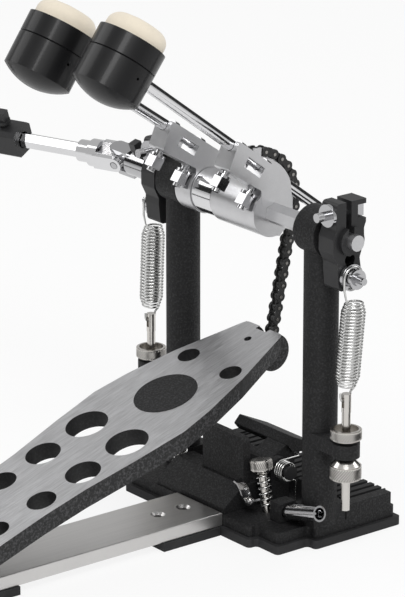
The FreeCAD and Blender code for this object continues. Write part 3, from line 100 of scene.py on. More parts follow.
class PedalSizes(bpy.types.PropertyGroup):
    """Sizes of the pieces that are made here"""

    axle_height: span("Axle height", "Axle over the floor", 0.222)
    coil_radius: span("Coil radius", "Return spring, middle of the wire", 0.0077)
    coil_wire: span("Coil wire", "Return spring wire radius", 0.0008)
    coil_turns: count("Coil turns", "Curls of a return spring", 26, 4, 60)
    coil_top: span("Coil top", "Upper end of the curls", 0.181)
    coil_low: span("Coil low", "Lower end of the curls", 0.122)
    loop_height: span("Loop height", "Middle of the loop round the roller", 0.197)
    loop_side: span("Loop side", "Reach of the loop's wire to the side", 0.00195)
    hook_radius: span("Hook radius", "Hook in the rod's eye", 0.0042)
    hook_height: span("Hook height", "Middle of the hook", 0.1146)
    spring_place: span("Spring place", "Spring roller from the middle plane", 0.109)
    rod_place: span("Tension rod place", "Tension rod from the middle plane", 0.107)
    rod_back: span("Tension rod back", "Tension rod from the axle towards the player", 0.004)
    spur_wire: span("Spur wire", "Spur spring wire radius", 0.0006)
    spur_coil: span("Spur coil", "Spur spring, middle of the wire", 0.0044)
    spur_low: span("Spur spring foot", "Start of a spur spring along its spur", 0.0018)
    spur_high: span("Spur spring top", "End of a spur spring along its spur", 0.0256)
    spur_tilt: swing("Spur tilt", "Lean of the spurs", 12.0)
    jaw_height: span("Jaw height", "Jaw pivot over the floor", 0.040)
    jaw_coil: span("Jaw coil", "Jaw spring, middle of the wire", 0.0064)
    jaw_wire: span("Jaw wire", "Jaw spring wire radius", 0.0006)
    rod_offset: span("Rod offset", "Beater rod from the axle", 0.0225)
    head_up: span("Head height", "Beater head over the axle along its rod", 0.172)
    lean_right: swing("Right lean", "Right beater from upright", 53.0)
    lean_left: swing("Left lean", "Left beater from upright", 55.0)
    right_place: span("Right rod", "Right beater rod along the axle", 0.016)
    left_place: span("Left rod", "Left beater rod along the axle", -0.0542)
    felt_radius: span("Felt radius", "Felt disc", 0.0213)
    felt_low: span("Felt seat", "Felt seat in the head", 0.0161)
    felt_high: span("Felt face", "Felt face from the head's middle", 0.0315)
    felt_roll: span("Felt roll", "Rounding of the felt's rim", 0.0085)
    nut_radius: span("Nut radius", "Knurled nuts on the tension rods", 0.0100)
    nut_teeth: count("Nut teeth", "Points of a knurl around a nut", 36, 12, 90)
    fork_place: span("Fork place", "Clamping screw of the main fork along the axle", -0.121)
    fork_lean: swing("Fork lean", "Clamping screw of the main fork from upright", 21.463)
    board_slope: swing("Board slope", "Slope of the footboards", 19.0)


class PedalStudio(bpy.types.PropertyGroup):
    """Camera, floor and lamps"""

    azimuth: swing("Azimuth", "Camera round the pedal", 51.7)
    elevation: swing("Elevation", "Camera over the horizon", 18.4)
    distance: span("Distance", "Camera from its aim", 2.6)
    lens: FloatProperty(name="Lens", description="Focal length in millimetres", default=230.5, min=20.0,
                        max=600.0)
    aim: FloatVectorProperty(name="Aim", description="Point in the middle of the picture", size=3,
                             unit="LENGTH", default=(-0.0046, -0.0384, 0.1614))
    floor: tint("Floor", "Pale studio floor", (0.93, 0.93, 0.93))
    key: FloatProperty(name="Key", description="Power of the key lamp in watts", default=32.0, min=0.0)
    fill: FloatProperty(name="Fill", description="Power of the fill lamp in watts", default=12.0, min=0.0)
    sky: FloatProperty(name="Sky", description="Strength of the light from all round", default=0.40, min=0.0)


class Flow:
    """A value in a material's tree: arithmetic on it adds Math nodes."""

    def __init__(self, finish, socket):
        self.finish = finish
        self.socket = socket

    def __add__(self, other):
        return self.finish.maths("ADD", self, other)

    __radd__ = __add__

    def __sub__(self, other):
        return self.finish.maths("SUBTRACT", self, other)

    def __rsub__(self, other):
        return self.finish.maths("SUBTRACT", other, self)

    def __mul__(self, other):
        return self.finish.maths("MULTIPLY", self, other)

    __rmul__ = __mul__

    def __abs__(self):
        return self.finish.maths("ABSOLUTE", self, 0.0)

    def __gt__(self, other):
        return self.finish.maths("GREATER_THAN", self, other)

    def __lt__(self, other):
        return self.finish.maths("LESS_THAN", self, other)


class Finish:
    """A procedural finish under construction, on one principled shader."""

    def __init__(self, name):
        self.material = bpy.data.materials.new(name)
        self.material.use_nodes = True
        self.tree = self.material.node_tree
        self.shader = self.tree.nodes["Principled BSDF"]

    def feed(self, socket, value):
        if isinstance(value, Flow):
            self.tree.links.new(value.socket, socket)
        elif getattr(socket, "type", "") == "RGBA":
            socket.default_value = (*value[:3], 1.0)
        else:
            socket.default_value = value

    def node(self, kind, inputs=None, settings=None, out=0):
        """Any node: its settings first, then the values or links of its sockets."""
        made = self.tree.nodes.new(kind)
        for key, value in (settings or {}).items():
            setattr(made, key, value)
        for key, value in (inputs or {}).items():
            self.feed(made.inputs[key], value)
        return Flow(self, made.outputs[out])

    def maths(self, operation, a, b):
        return self.node("ShaderNodeMath", {0: a, 1: b}, {"operation": operation})

    def mix(self, factor, a, b):
        """A colour between two colours."""
        return self.node("ShaderNodeMix", {0: factor, 6: a, 7: b}, {"data_type": "RGBA"}, 2)

    def place(self):
        return self.node("ShaderNodeTexCoord", out=3)

    def facing(self):
        return self.node("ShaderNodeTexCoord", out=1)

    def along(self, vector, way):
        """How far a vector runs along a direction."""
        return self.node("ShaderNodeVectorMath", {0: vector, 1: way}, {"operation": "DOT_PRODUCT"}, 1)

    def mapped(self, centre=(0, 0, 0), turn=(0, 0, 0), stretch=(1, 1, 1)):
        """Object coordinates from a centre, turned, then stretched."""
        moved = self.node("ShaderNodeVectorMath", {0: self.place(), 1: centre}, {"operation": "SUBTRACT"})
        return self.node("ShaderNodeMapping", {"Vector": moved, "Rotation": turn, "Scale": stretch})

    def grain(self, scale, detail=2.0, rough=0.5, vector=None):
        """Cloudy noise between 0 and 1."""
        return self.node("ShaderNodeTexNoise", {"Vector": vector or self.place(), "Scale": scale,
                                                "Detail": detail, "Roughness": rough})

    def ramp(self, value, low, high):
        """A value that rises from 0 to 1 between two levels."""
        return self.node("ShaderNodeMapRange", {"Value": value, "From Min": low, "From Max": high},
                         {"interpolation_type": "SMOOTHSTEP"})

    def bump(self, height, strength, distance):
        return self.node("ShaderNodeBump", {"Height": height, "Strength": strength, "Distance": distance})

    def seen(self, lens, mirror):
        """Shares for what the lens sees and for what metal and glass show."""
        path = {name: self.node("ShaderNodeLightPath", out=name)
                for name in ("Is Camera Ray", "Is Glossy Ray", "Is Transmission Ray")}
        return path["Is Camera Ray"] * lens + (path["Is Glossy Ray"] + path["Is Transmission Ray"]) * mirror

    def done(self, **sockets):
        for key, value in sockets.items():
            self.feed(self.shader.inputs[key.replace("_", " ")], value)
        return self.material


class Surround(Finish):
    """The light from all round, on a world's tree."""

    def __init__(self, world):
        world.use_nodes = True
        self.tree = world.node_tree
        self.tree.nodes.remove(self.tree.nodes["Background"])


def shade(colour, factor):
    """A colour made lighter or darker."""
    return tuple(min(1.0, c * factor) for c in colour)


def powder_coat(name, colour, scale=760.0, depth=0.0005):
    """Black coat with a coarse, slightly shiny grain."""
    f = Finish(name)
    coarse = f.grain(scale, 3.0, 0.6)
    broad = f.grain(60.0, 2.0)
    speck = f.ramp(coarse, 0.42, 0.74)
    f.shader.inputs["Specular IOR Level"].default_value = 0.32
    return f.done(Base_Color=f.mix(speck * 0.8 + broad * 0.2, shade(colour, 0.7), shade(colour, 3.0)),
                  Roughness=0.62 - 0.16 * speck + 0.06 * broad,
                  Normal=f.bump(coarse, 0.7, depth))


def smooth_coat(name, colour):
    """Fine black coat with a soft sheen."""
    f = Finish(name)
    fine = f.grain(1600.0, 2.0)
    broad = f.grain(45.0, 3.0)
    return f.done(Base_Color=f.mix(broad, shade(colour, 0.8), shade(colour, 1.5)),
                  Roughness=0.40 + 0.12 * broad + 0.05 * fine,
                  Normal=f.bump(fine, 0.12, 0.0002))


def soft_rubber(name, colour):
    """Dull black rubber with a little dust."""
    f = Finish(name)
    fine = f.grain(900.0, 3.0)
    dust = f.ramp(f.grain(30.0, 4.0, 0.6), 0.45, 0.75)
    f.shader.inputs["Specular IOR Level"].default_value = 0.35
    return f.done(Base_Color=f.mix(dust, colour, shade(colour, 1.7)),
                  Roughness=0.62 + 0.14 * fine,
                  Normal=f.bump(fine, 0.2, 0.0003))


def brushed(name, colour):
    """Metal brushed along the pedal's length."""
    f = Finish(name)
    lines = f.grain(1.0, 4.0, 0.65, f.mapped(stretch=(2200.0, 16.0, 16.0)))
    wide = f.grain(1.0, 2.0, 0.5, f.mapped(stretch=(260.0, 5.0, 5.0)))
    return f.done(Base_Color=f.mix(lines * 0.6 + wide * 0.4, shade(colour, 0.80), shade(colour, 1.18)),
                  Metallic=1.0, Roughness=0.30 + 0.14 * lines,
                  Normal=f.bump(lines, 0.10, 0.0002))


def board_finish(name, metal, coat, slope, centre):
    """Brushed metal on top of a footboard, powder coat on its sides, a smoother one in its holes."""
    f = Finish(name)
    hole_half = 0.0384
    hole_end = 0.115
    up = (0.0, -math.sin(slope), math.cos(slope))
    top = f.along(f.facing(), up) > 0.90
    tilt = (-slope, 0, 0)
    lines = f.ramp(f.grain(1.0, 5.0, 0.7, f.mapped(centre, tilt, (950.0, 60.0, 60.0))), 0.28, 0.72)
    wide = f.grain(1.0, 2.0, 0.5, f.mapped(centre, tilt, (170.0, 3.0, 3.0)))
    coarse = f.grain(560.0, 3.0, 0.6)
    offset = f.mapped(centre)
    hole = (abs(f.along(offset, (1, 0, 0))) < hole_half) * (f.along(offset, (0, 1, 0)) < hole_end)
    speck = f.ramp(coarse, 0.44, 0.68) * (1 - 0.8 * hole)
    bright = f.mix(lines * 0.65 + wide * 0.35, shade(metal, 0.76), shade(metal, 1.22))
    dark = f.mix(speck, coat, shade(coat, 6.0))
    height = top * lines * 0.25 + (1 - top) * (1 - 0.8 * hole) * coarse
    return f.done(Base_Color=f.mix(top, dark, bright), Metallic=top,
                  Roughness=top * (0.30 + 0.16 * lines) + (1 - top) * (0.64 - 0.18 * speck),
                  Normal=f.bump(height, 0.7, 0.0006))


def plated(name, colour, rough=0.07):
    """Polished plating with faint haze."""
    f = Finish(name)
    haze = f.ramp(f.grain(140.0, 4.0, 0.6), 0.45, 0.8)
    broad = f.grain(18.0, 2.0)
    return f.done(Base_Color=f.mix(broad, shade(colour, 0.92), shade(colour, 1.06)), Metallic=1.0,
                  Roughness=rough + 0.10 * haze)


def knurled(name, colour):
    """Plating on a knurl: a painted highlight on the points and painted shade in the dents between them,
    which are also duller.
    """
    f = Finish(name)
    crown = f.node("ShaderNodeAttribute", settings={"attribute_name": "crown"}, out="Fac")
    haze = f.grain(140.0, 4.0, 0.6)
    # Painted light: the points get a lighter copy of the nickel as a painted highlight, the dents a much
    # darker copy as painted shade.
    return f.done(Base_Color=f.mix(crown, shade(colour, 0.22), shade(colour, 1.15)), Metallic=1.0,
                  Roughness=0.42 - 0.22 * crown + 0.08 * haze)


def satin_cast(name, colour):
    """Cast alloy, blasted to a satin and slightly uneven."""
    f = Finish(name)
    fine = f.grain(1300.0, 3.0, 0.6)
    broad = f.grain(90.0, 3.0, 0.55)
    tone = f.mix(broad * 0.6 + fine * 0.4, shade(colour, 0.80), shade(colour, 1.12))
    return f.done(Base_Color=tone, Metallic=1.0, Roughness=0.26 + 0.10 * broad + 0.10 * fine,
                  Normal=f.bump(fine * 0.5 + broad * 0.5, 0.16, 0.0004))


def chain_finish(name, colour, silver, middle):
    """Blackened plates with bright pin ends."""
    f = Finish(name)
    plate_face, pin_end = 0.00368, 0.00378
    across = abs(f.along(f.mapped((middle, 0, 0)), (1, 0, 0)))
    pin = f.ramp(across, plate_face, pin_end)
    wear = f.ramp(f.grain(420.0, 3.0, 0.6), 0.55, 0.8)
    return f.done(Base_Color=f.mix(pin, f.mix(wear, colour, shade(colour, 4.0)), silver),
                  Metallic=pin * 0.9 + 0.1, Roughness=0.36 - 0.12 * pin + 0.16 * wear,
                  Normal=f.bump(f.grain(1500.0, 2.0), 0.1, 0.0002))


def fork_finish(name, chrome, black, foot, way):
    """Plated fork whose clamping screw is black."""
    f = Finish(name)
    hub_radius, screw_radius = 0.0098, 0.006
    offset = f.mapped(foot)
    screw = (f.along(offset, way) > hub_radius) * (abs(f.along(offset, (1, 0, 0))) < screw_radius)
    haze = f.grain(120.0, 3.0)
    return f.done(Base_Color=f.mix(screw, chrome, black), Metallic=1 - screw,
                  Roughness=0.08 + 0.06 * haze + 0.28 * screw)


def moulded(name, colour):
    """Black moulded plastic with a soft gloss."""
    f = Finish(name)
    fine = f.grain(1100.0, 2.0)
    broad = f.grain(26.0, 3.0)
    f.shader.inputs["Specular IOR Level"].default_value = 0.22
    f.shader.inputs["Coat Roughness"].default_value = 0.12
    f.shader.inputs["Coat IOR"].default_value = 1.3
    return f.done(Base_Color=f.mix(broad, shade(colour, 0.8), shade(colour, 1.4)),
                  Roughness=0.40 + 0.08 * broad, Coat_Weight=0.40 + 0.15 * broad,
                  Normal=f.bump(fine, 0.05, 0.0002))


def wool_felt(name, colour):
    """Pressed wool: matted fibres, a slightly uneven tone and a soft sheen."""
    f = Finish(name)
    fibres = f.grain(1.0, 5.0, 0.7, f.mapped((0, 0, 0), (0.6, 0.2, 0.4), (900.0, 300.0, 900.0)))
    cross = f.grain(1.0, 5.0, 0.7, f.mapped((0, 0, 0), (1.4, 0.9, 2.0), (900.0, 280.0, 900.0)))
    cloud = f.grain(70.0, 3.0)
    f.shader.inputs["Sheen Weight"].default_value = 0.35
    f.shader.inputs["Sheen Roughness"].default_value = 0.5
    f.shader.inputs["Specular IOR Level"].default_value = 0.15
    return f.done(Base_Color=f.mix(fibres * 0.5 + cloud * 0.5, shade(colour, 0.88), shade(colour, 1.08)),
                  Roughness=0.92 - 0.06 * fibres,
                  Normal=f.bump(fibres * 0.5 + cross * 0.5, 0.45, 0.0005))


def paint(material, *names):
    """Give CAD nodes a finish."""
    for name in names:
        slots = NODES[name].data.materials
        slots.clear()
        slots.append(material)


def piece(name, bm, material, smooth=40.0):
    """Turn a bmesh into an object of the pedal, its place in its mesh."""
    mesh = bpy.data.meshes.new(name)
    bmesh.ops.remove_doubles(bm, verts=bm.verts[:], dist=1e-6)
    bmesh.ops.recalc_face_normals(bm, faces=bm.faces[:])
    bm.to_mesh(mesh)
    bm.free()
    mesh.shade_smooth()
    mesh.set_sharp_from_angle(angle=math.radians(smooth))
    mesh.materials.append(material)
    obj = bpy.data.objects.new(name, mesh)
    bpy.context.scene.collection.objects.link(obj)
    return obj


class Wire:
    """A round wire that is drawn on from its end: straight runs and bends of one unbroken tube."""

    def __init__(self, start, heading, radius, sides=8):
        self.bm = bmesh.new()
        self.spot = Vector(start)
        self.heading = Vector(heading).normalized()
        turn = self.heading.to_track_quat("Z", "Y").to_matrix().to_4x4()
        ring = bmesh.ops.create_circle(self.bm, segments=sides, radius=radius, cap_ends=False,
                                       matrix=Matrix.Translation(self.spot) @ turn)
        self.ring = list({e for v in ring["verts"] for e in v.link_edges})
        self.close()

    def close(self):
        """A flat end on the present ring."""
        bmesh.ops.contextual_create(self.bm, geom=self.ring)

    def run(self, length):
        """Straight on."""
        out = bmesh.ops.extrude_edge_only(self.bm, edges=self.ring)["geom"]
        step = self.heading * length
        bmesh.ops.translate(self.bm, vec=step, verts=[g for g in out if isinstance(g, bmesh.types.BMVert)])
        self.ring = [g for g in out if isinstance(g, bmesh.types.BMEdge)]
        self.spot += step
        return self

    def bend(self, toward, radius, degrees, steps, rise=(0, 0, 0)):
        """Round towards a side, with an even drift along the axis over the whole bend."""
        side = Vector(toward)
        side = (side - self.heading * side.dot(self.heading)).normalized()
        axis = self.heading.cross(side)
        centre = self.spot + side * radius
        drift = Vector(rise)
        out = bmesh.ops.spin(self.bm, geom=self.ring, cent=centre, axis=axis, angle=math.radians(degrees),
                             steps=steps, dvec=drift / steps, use_duplicate=False)["geom_last"]
        self.ring = [g for g in out if isinstance(g, bmesh.types.BMEdge)]
        turn = Matrix.Rotation(math.radians(degrees), 3, axis)
        self.spot = centre + turn @ (self.spot - centre) + drift
        self.heading = turn @ self.heading
        return self

    def end(self, name, material):
        self.close()
        return piece(name, self.bm, material, 60.0)


def upright(lean, where, sizes):
    """The place of a beater head: its own Y runs out of the felt, its Z along the rod."""
    return (Matrix.Translation((0, 0, sizes.axle_height)) @ Matrix.Rotation(lean, 4, "X")
            @ Matrix.Translation((where, sizes.rod_offset, sizes.head_up)))


def turned(bm, profile, steps):
    """A closed body turned about Y from points given along Y and outwards."""
    verts = [bm.verts.new((0, y, r)) for y, r in profile]
    edges = [bm.edges.new(pair) for pair in zip(verts, verts[1:])]
    bmesh.ops.spin(bm, geom=verts + edges, cent=(0, 0, 0), axis=(0, 1, 0), angle=math.tau, steps=steps,
                   use_merge=True, use_duplicate=False)
    bmesh.ops.remove_doubles(bm, verts=bm.verts[:], dist=1e-6)


def knurled_band(name, material, place, radius, low, high, teeth, rows):
    """A band of small diamond points around Z, closed inside, from low to high."""
    bm = bmesh.new()
    # Marks the points with 1 and the dents with 0; the finish paints a highlight on the points and shade in
    # the dents.
    crown = bm.verts.layers.float.new("crown")
    depth = radius * 0.05
    segments = teeth * 2
    first = bmesh.ops.create_circle(bm, segments=segments, radius=radius - 2 * depth, cap_ends=False,
                                    matrix=Matrix.Translation((0, 0, low)))
    inner = ring = list({e for v in first["verts"] for e in v.link_edges})
    levels = [(radius, low)] + [(radius, low + (high - low) * i / rows) for i in range(1, rows + 1)]
    levels.append((radius - 2 * depth, high))
    last = (radius - 2 * depth, low)
    rings = []
    for level in levels:
        out = bmesh.ops.extrude_edge_only(bm, edges=ring)["geom"]
        verts = [g for g in out if isinstance(g, bmesh.types.BMVert)]
        ring = [g for g in out if isinstance(g, bmesh.types.BMEdge)]
        bmesh.ops.translate(bm, vec=(0, 0, level[1] - last[1]), verts=verts)
        grow = level[0] / last[0]
        bmesh.ops.scale(bm, vec=(grow, grow, 1), verts=verts)
        rings.append(verts)
        last = level
    bmesh.ops.bridge_loops(bm, edges=inner + ring)
    for v in bm.verts:
        v[crown] = 1.0
    dents = []
    for row, verts in enumerate(rings[1:-2]):
        for v in verts:
            tooth = round(math.atan2(v.co.y, v.co.x) / math.tau * segments)
            if (tooth + row) % 2:
                v[crown] = 0.0
                dents.append(v)
    shrink = (radius - depth) / radius
    bmesh.ops.scale(bm, vec=(shrink, shrink, 1), verts=dents)
    bmesh.ops.transform(bm, matrix=place, verts=bm.verts[:])
    return piece(name, bm, material, 20.0)


SIDES = {"right": 1, "left": -1}
SPUR_FEET = {"right": (0.039, -0.016, 0.014), "left": (-0.0595, -0.0175, 0.014)}
# A band's foot, its top and its rows of points.
NUT_BANDS = {"upper": (0.0850, 0.0914, 6), "lower": (0.0567, 0.0657, 8)}
SPUR_BAND = {"radius": 0.0078, "low": 0.0301, "high": 0.0362, "teeth": 34, "rows": 5}


class PEDAL_OT_footboards(bpy.types.Operator):
    """Brushed tops and coated sides of both footboards, with their bare round badges"""

    bl_idname = "pedal.footboards"
    bl_label = "Footboards"

    def execute(self, context):
        colours = context.scene.pedal_finishes
        slope = context.scene.pedal_sizes.board_slope
        for board, disc in (("footboard", "badge"), ("slave_footboard", "slave_badge")):
            low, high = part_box(board)
            centre = (low + high) / 2
            paint(board_finish(board + "_metal", colours.board, colours.casting, slope, centre), board)
            paint(powder_coat(disc + "_black", colours.casting, 700.0, 0.0004), disc)
        return {"FINISHED"}


class PEDAL_OT_castings(bpy.types.Operator):
    """Coarse black coat of bases, posts, jaw and heel plates, and the fine coat of the rockers"""

    bl_idname = "pedal.castings"
    bl_label = "Castings"

    def execute(self, context):
        colours = context.scene.pedal_finishes
        paint(powder_coat("casting_black", colours.casting), "base_casting", "post_right", "post_left",
              "hoop_jaw", "heel_plate", "slave_base", "slave_posts", "slave_heel_plate")
        paint(smooth_coat("rocker_black", colours.rocker), "rocker_right", "rocker_left")
        paint(soft_rubber("mat_rubber", colours.rubber), "base_mat", "bar_pads", "hoop_pad", "slave_mat",
              "slave_pads")
        return {"FINISHED"}


class PEDAL_OT_metalwork(bpy.types.Operator):
    """Brushed bars, plated rods and forks, satin holders and the drive shaft"""

    bl_idname = "pedal.metalwork"
    bl_label = "Metalwork"

    def execute(self, context):
        colours = context.scene.pedal_finishes
        paint(brushed("bar_steel", colours.steel), "base_bar", "slave_bar")
        paint(satin_cast("holder_alloy", colours.alloy), "holder_right", "holder_left", "cam", "hex_axle")
        paint(plated("rod_chrome", colours.chrome), "beater_right_rod", "beater_left_rod", "left_axle",
              "shaft_bar")
        paint(plated("fitting_chrome", colours.fitting, 0.12), "holder_right_bolts", "holder_left_bolts",
              "rocker_right_fittings", "rocker_left_fittings", "clamp_screw", "key_clip")
        paint(plated("slave_axle_chrome", colours.alloy, 0.16), "slave_axle")
        paint(plated("nut_nickel", colours.nickel, 0.18), "tension_rod_right", "tension_rod_left",
              "spur_right", "spur_left")
        paint(smooth_coat("tube_black", colours.rocker), "shaft_tube", "jaw_pivot")
        sizes = context.scene.pedal_sizes
        foot = (sizes.fork_place, 0, sizes.axle_height)
        way = (0, -math.sin(sizes.fork_lean), math.cos(sizes.fork_lean))
        paint(fork_finish("fork_chrome", colours.fitting, colours.rocker, foot, way), "main_fork")
        return {"FINISHED"}


class PEDAL_OT_chains(bpy.types.Operator):
    """Blackened roller chains with bright pin ends"""

    bl_idname = "pedal.chains"
    bl_label = "Chains"

    def execute(self, context):
        colours = context.scene.pedal_finishes
        for lead in ("", "slave_"):
            names = [lead + "chain_" + part for part in ("wrap", "upper", "middle", "run")]
            low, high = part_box(names[-1])
            middle = (low.x + high.x) / 2
            silver = shade(colours.nickel, 0.5)
            paint(chain_finish(lead + "chain_black", colours.chain, silver, middle), *names)
        return {"FINISHED"}


class PEDAL_OT_beaters(bpy.types.Operator):
    """Moulded beater heads and their pressed felts"""

    bl_idname = "pedal.beaters"
    bl_label = "Beaters"

    def execute(self, context):
        colours = context.scene.pedal_finishes
        sizes = context.scene.pedal_sizes
        paint(moulded("head_black", colours.gloss), "beater_right_head", "beater_left_head")
        wool = wool_felt("felt_wool", colours.felt)
        places = {"right": (sizes.lean_right, sizes.right_place), "left": (sizes.lean_left, sizes.left_place)}
        for side, (lean, where) in places.items():
            bm = bmesh.new()
            turned(bm, self.profile(sizes), 72)
            seat, uneven, lumps = sizes.felt_low + 0.003, 0.0003, 160.0
            for v in bm.verts:
                if v.co.y > seat:
                    v.co += v.co.normalized() * uneven * noise.noise(v.co * lumps)
            bmesh.ops.transform(bm, matrix=upright(lean, where, sizes), verts=bm.verts[:])
            felt = piece("felt_" + side, bm, wool, 60.0)
            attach(felt, "beater_" + side)
            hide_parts("beater_%s_felt" % side)
        return {"FINISHED"}

    def profile(self, sizes):
        """Outline of a felt from its seat over the rounded rim to the middle of its face."""
        radius, low, high, roll = sizes.felt_radius, sizes.felt_low, sizes.felt_high, sizes.felt_roll
        wall_steps, rim_steps, swell = 4, 8, 0.0005
        points = [(low, 0), (low, radius * 0.6), (low, radius)]
        points += [(low + (high - low - roll) * i / wall_steps, radius) for i in range(1, wall_steps + 1)]
        for i in range(1, rim_steps + 1):
            a = math.pi / 2 * i / rim_steps
            points.append((high - roll + roll * math.sin(a), radius - roll + roll * math.cos(a)))
        return points + [(high + swell * 0.8, radius * 0.4), (high + swell, radius * 0.2), (high + swell, 0)]


class PEDAL_OT_return_springs(bpy.types.Operator):
    """Coil springs between the rockers and the tension rods"""

    bl_idname = "pedal.return_springs"
    bl_label = "Return springs"

    def execute(self, context):
        sizes = context.scene.pedal_sizes
        zinc = plated("spring_zinc", context.scene.pedal_finishes.zinc, 0.24)
        radius = sizes.coil_radius
        bow = sizes.loop_side - sizes.coil_wire
        top, low, turns = sizes.coil_top, sizes.coil_low, sizes.coil_turns
        loop_start, loop_turn = -110, 290
        curve, shortest, hook_tip = 0.003, 0.0002, 0.0024
        for side, sign in SIDES.items():
            x = sign * sizes.spring_place
            start = math.radians(loop_start)
            wire = Wire((x - bow, radius * math.cos(start), sizes.loop_height + radius * math.sin(start)),
                        (0, -math.sin(start), math.cos(start)), sizes.coil_wire)
            wire.bend((0, -math.cos(start), -math.sin(start)), radius, loop_turn, 36)
            for _ in range(2):
                wire.run((sizes.loop_height - top - bow) / 2)
            wire.bend((1, 0, 0), bow, 90, 5)
            wire.bend((0, 1, 0), radius, 360 * turns + 180, 20 * turns + 10, (0, 0, low - top))
            wire.bend((0, 0, -1), bow, 90, 5)
            lean = math.degrees(math.acos(1 - (radius - sizes.hook_radius) / (2 * curve)))
            wire.bend((0, -1, 0), curve, lean, 6)
            wire.bend((0, 1, 0), curve, lean, 6)
            wire.run(max(shortest, wire.spot.z - sizes.hook_height))
            wire.bend((0, -1, 0), sizes.hook_radius, 180, 20)
            wire.run(hook_tip)
            self.draw_in(wire.bm, x, sizes)
            way = Vector((sign * (sizes.rod_place - sizes.spring_place), -sizes.rod_back, 0))
            self.shear(wire.bm, way, low, top)
            coil = wire.end("coil_" + side, zinc)
            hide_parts("spring_" + side)
            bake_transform(coil)
        return {"FINISHED"}

    def draw_in(self, bm, x, sizes):
        """Make the first and last curls of a spring narrower."""
        reach = 3 * (sizes.coil_top - sizes.coil_low) / sizes.coil_turns
        loop_reach, hook_reach, least = 0.006, 0.003, 0.74
        for v in bm.verts:
            z = v.co.z
            if z > sizes.coil_top:
                share = (z - sizes.coil_top) / loop_reach
            elif z < sizes.coil_low:
                share = (sizes.coil_low - z) / hook_reach
            else:
                share = min(sizes.coil_top - z, z - sizes.coil_low) / reach
            grow = least + (1 - least) * min(1.0, share)
            v.co.x = x + (v.co.x - x) * grow
            v.co.y *= grow

    def shear(self, bm, way, low, top):
        """Lean a spring: its foot moves all the way, its upper end stays."""
        slope = Matrix.Identity(4)
        slope[0][2], slope[1][2] = -way.x / (top - low), -way.y / (top - low)
        lean = Matrix.Translation((0, 0, top)) @ slope @ Matrix.Translation((0, 0, -top))
        middle = [v for v in bm.verts if low <= v.co.z <= top]
        foot = [v for v in bm.verts if v.co.z < low]
        bmesh.ops.transform(bm, matrix=lean, verts=middle)
        bmesh.ops.translate(bm, vec=way, verts=foot)


class PEDAL_OT_base_springs(bpy.types.Operator):
    """Springs under the spur heads and on the jaw pivot"""

    bl_idname = "pedal.base_springs"
    bl_label = "Base springs"

    def execute(self, context):
        sizes = context.scene.pedal_sizes
        zinc = plated("small_spring_zinc", context.scene.pedal_finishes.zinc, 0.22)
        turns = 6
        for side, sign in SIDES.items():
            tilt = Matrix.Rotation(-sign * sizes.spur_tilt, 3, "Y")
            foot = Vector(SPUR_FEET[side])
            axis = tilt @ Vector((0, 0, 1))
            start = foot + tilt @ Vector((sizes.spur_coil, 0, sizes.spur_low))
            wire = Wire(start, tilt @ Vector((0, 1, 0)), sizes.spur_wire)
            wire.bend(tilt @ Vector((-1, 0, 0)), sizes.spur_coil, 360 * turns, 24 * turns,
                      axis * (sizes.spur_high - sizes.spur_low))
            coil = wire.end("spur_coil_" + side, zinc)
            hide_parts("spur_spring_" + side)
            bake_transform(coil)
        self.jaw_spring(sizes, zinc)
        return {"FINISHED"}

    def jaw_spring(self, sizes, zinc):
        """The jaw's spring: a leg under the lip, curls on the pivot and a leg down to the base."""
        radius = sizes.jaw_coil
        level = sizes.jaw_height + radius
        lip_start, lip_leg, lip_bend, lip_run = (0.0284, 0.016, level), 0.0046, 0.0016, 0.0144
        curls, curl_steps, drift = 3.5, 84, 0.0077
        base_run, base_bend, base_leg = 0.0034, 0.003, 0.0160
        wire = Wire(lip_start, (1, 0, 0), sizes.jaw_wire)
        wire.run(lip_leg)
        wire.bend((0, -1, 0), lip_bend, 90, 6)
        wire.run(lip_run)
        wire.bend((0, 0, -1), radius, 360 * curls, curl_steps, (drift, 0, 0))
        wire.run(base_run)
        wire.bend((0, 0, -1), base_bend, 90, 8)
        wire.run(base_leg)
        coil = wire.end("jaw_coil", zinc)
        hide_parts("jaw_spring")
        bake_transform(coil)


class PEDAL_OT_knurls(bpy.types.Operator):
    """Diamond knurls on the tension nuts and the spur heads"""

    bl_idname = "pedal.knurls"
    bl_label = "Knurls"

    def execute(self, context):
        sizes = context.scene.pedal_sizes
        nickel = knurled("knurl_nickel", context.scene.pedal_finishes.nickel)
        stand = 0.0007
        for side, sign in SIDES.items():
            place = Matrix.Translation((sign * sizes.rod_place, -sizes.rod_back, 0))
            for level, (low, high, rows) in NUT_BANDS.items():
                band = knurled_band("nut_band_%s_%s" % (side, level), nickel, place,
                                    sizes.nut_radius + stand, low, high, sizes.nut_teeth, rows)
                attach(band, "tension_" + side)
            place = Matrix.Translation(SPUR_FEET[side]) @ Matrix.Rotation(-sign * sizes.spur_tilt, 4, "Y")
            band = knurled_band("spur_band_" + side, nickel, place, **SPUR_BAND)
            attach(band, "spur_" + side)
        return {"FINISHED"}


# Dark cards: name, place, the point they face and size.
CARDS = (("card_back", (0.0, 2.3, 0.62), (0, 0, 0.4), (3.0, 1.0)),
         ("card_side", (-1.9, -1.5, 0.85), (0, 0, 0.2), (2.4, 0.9)),
         ("card_low", (0.30, 0.32, 0.002), (0.30, 0.32, 1.0), (0.20, 0.50)))
# Lamps: name, place, size and the studio value with their power.
LAMPS = (("key_lamp", (1.3, -1.0, 2.0), (1.4, 1.0), "key"),
         ("fill_lamp", (-1.6, -1.0, 1.6), (1.6, 1.2), "fill"),
         ("back_lamp", (0.2, 1.8, 1.6), (1.6, 0.9), "fill"))


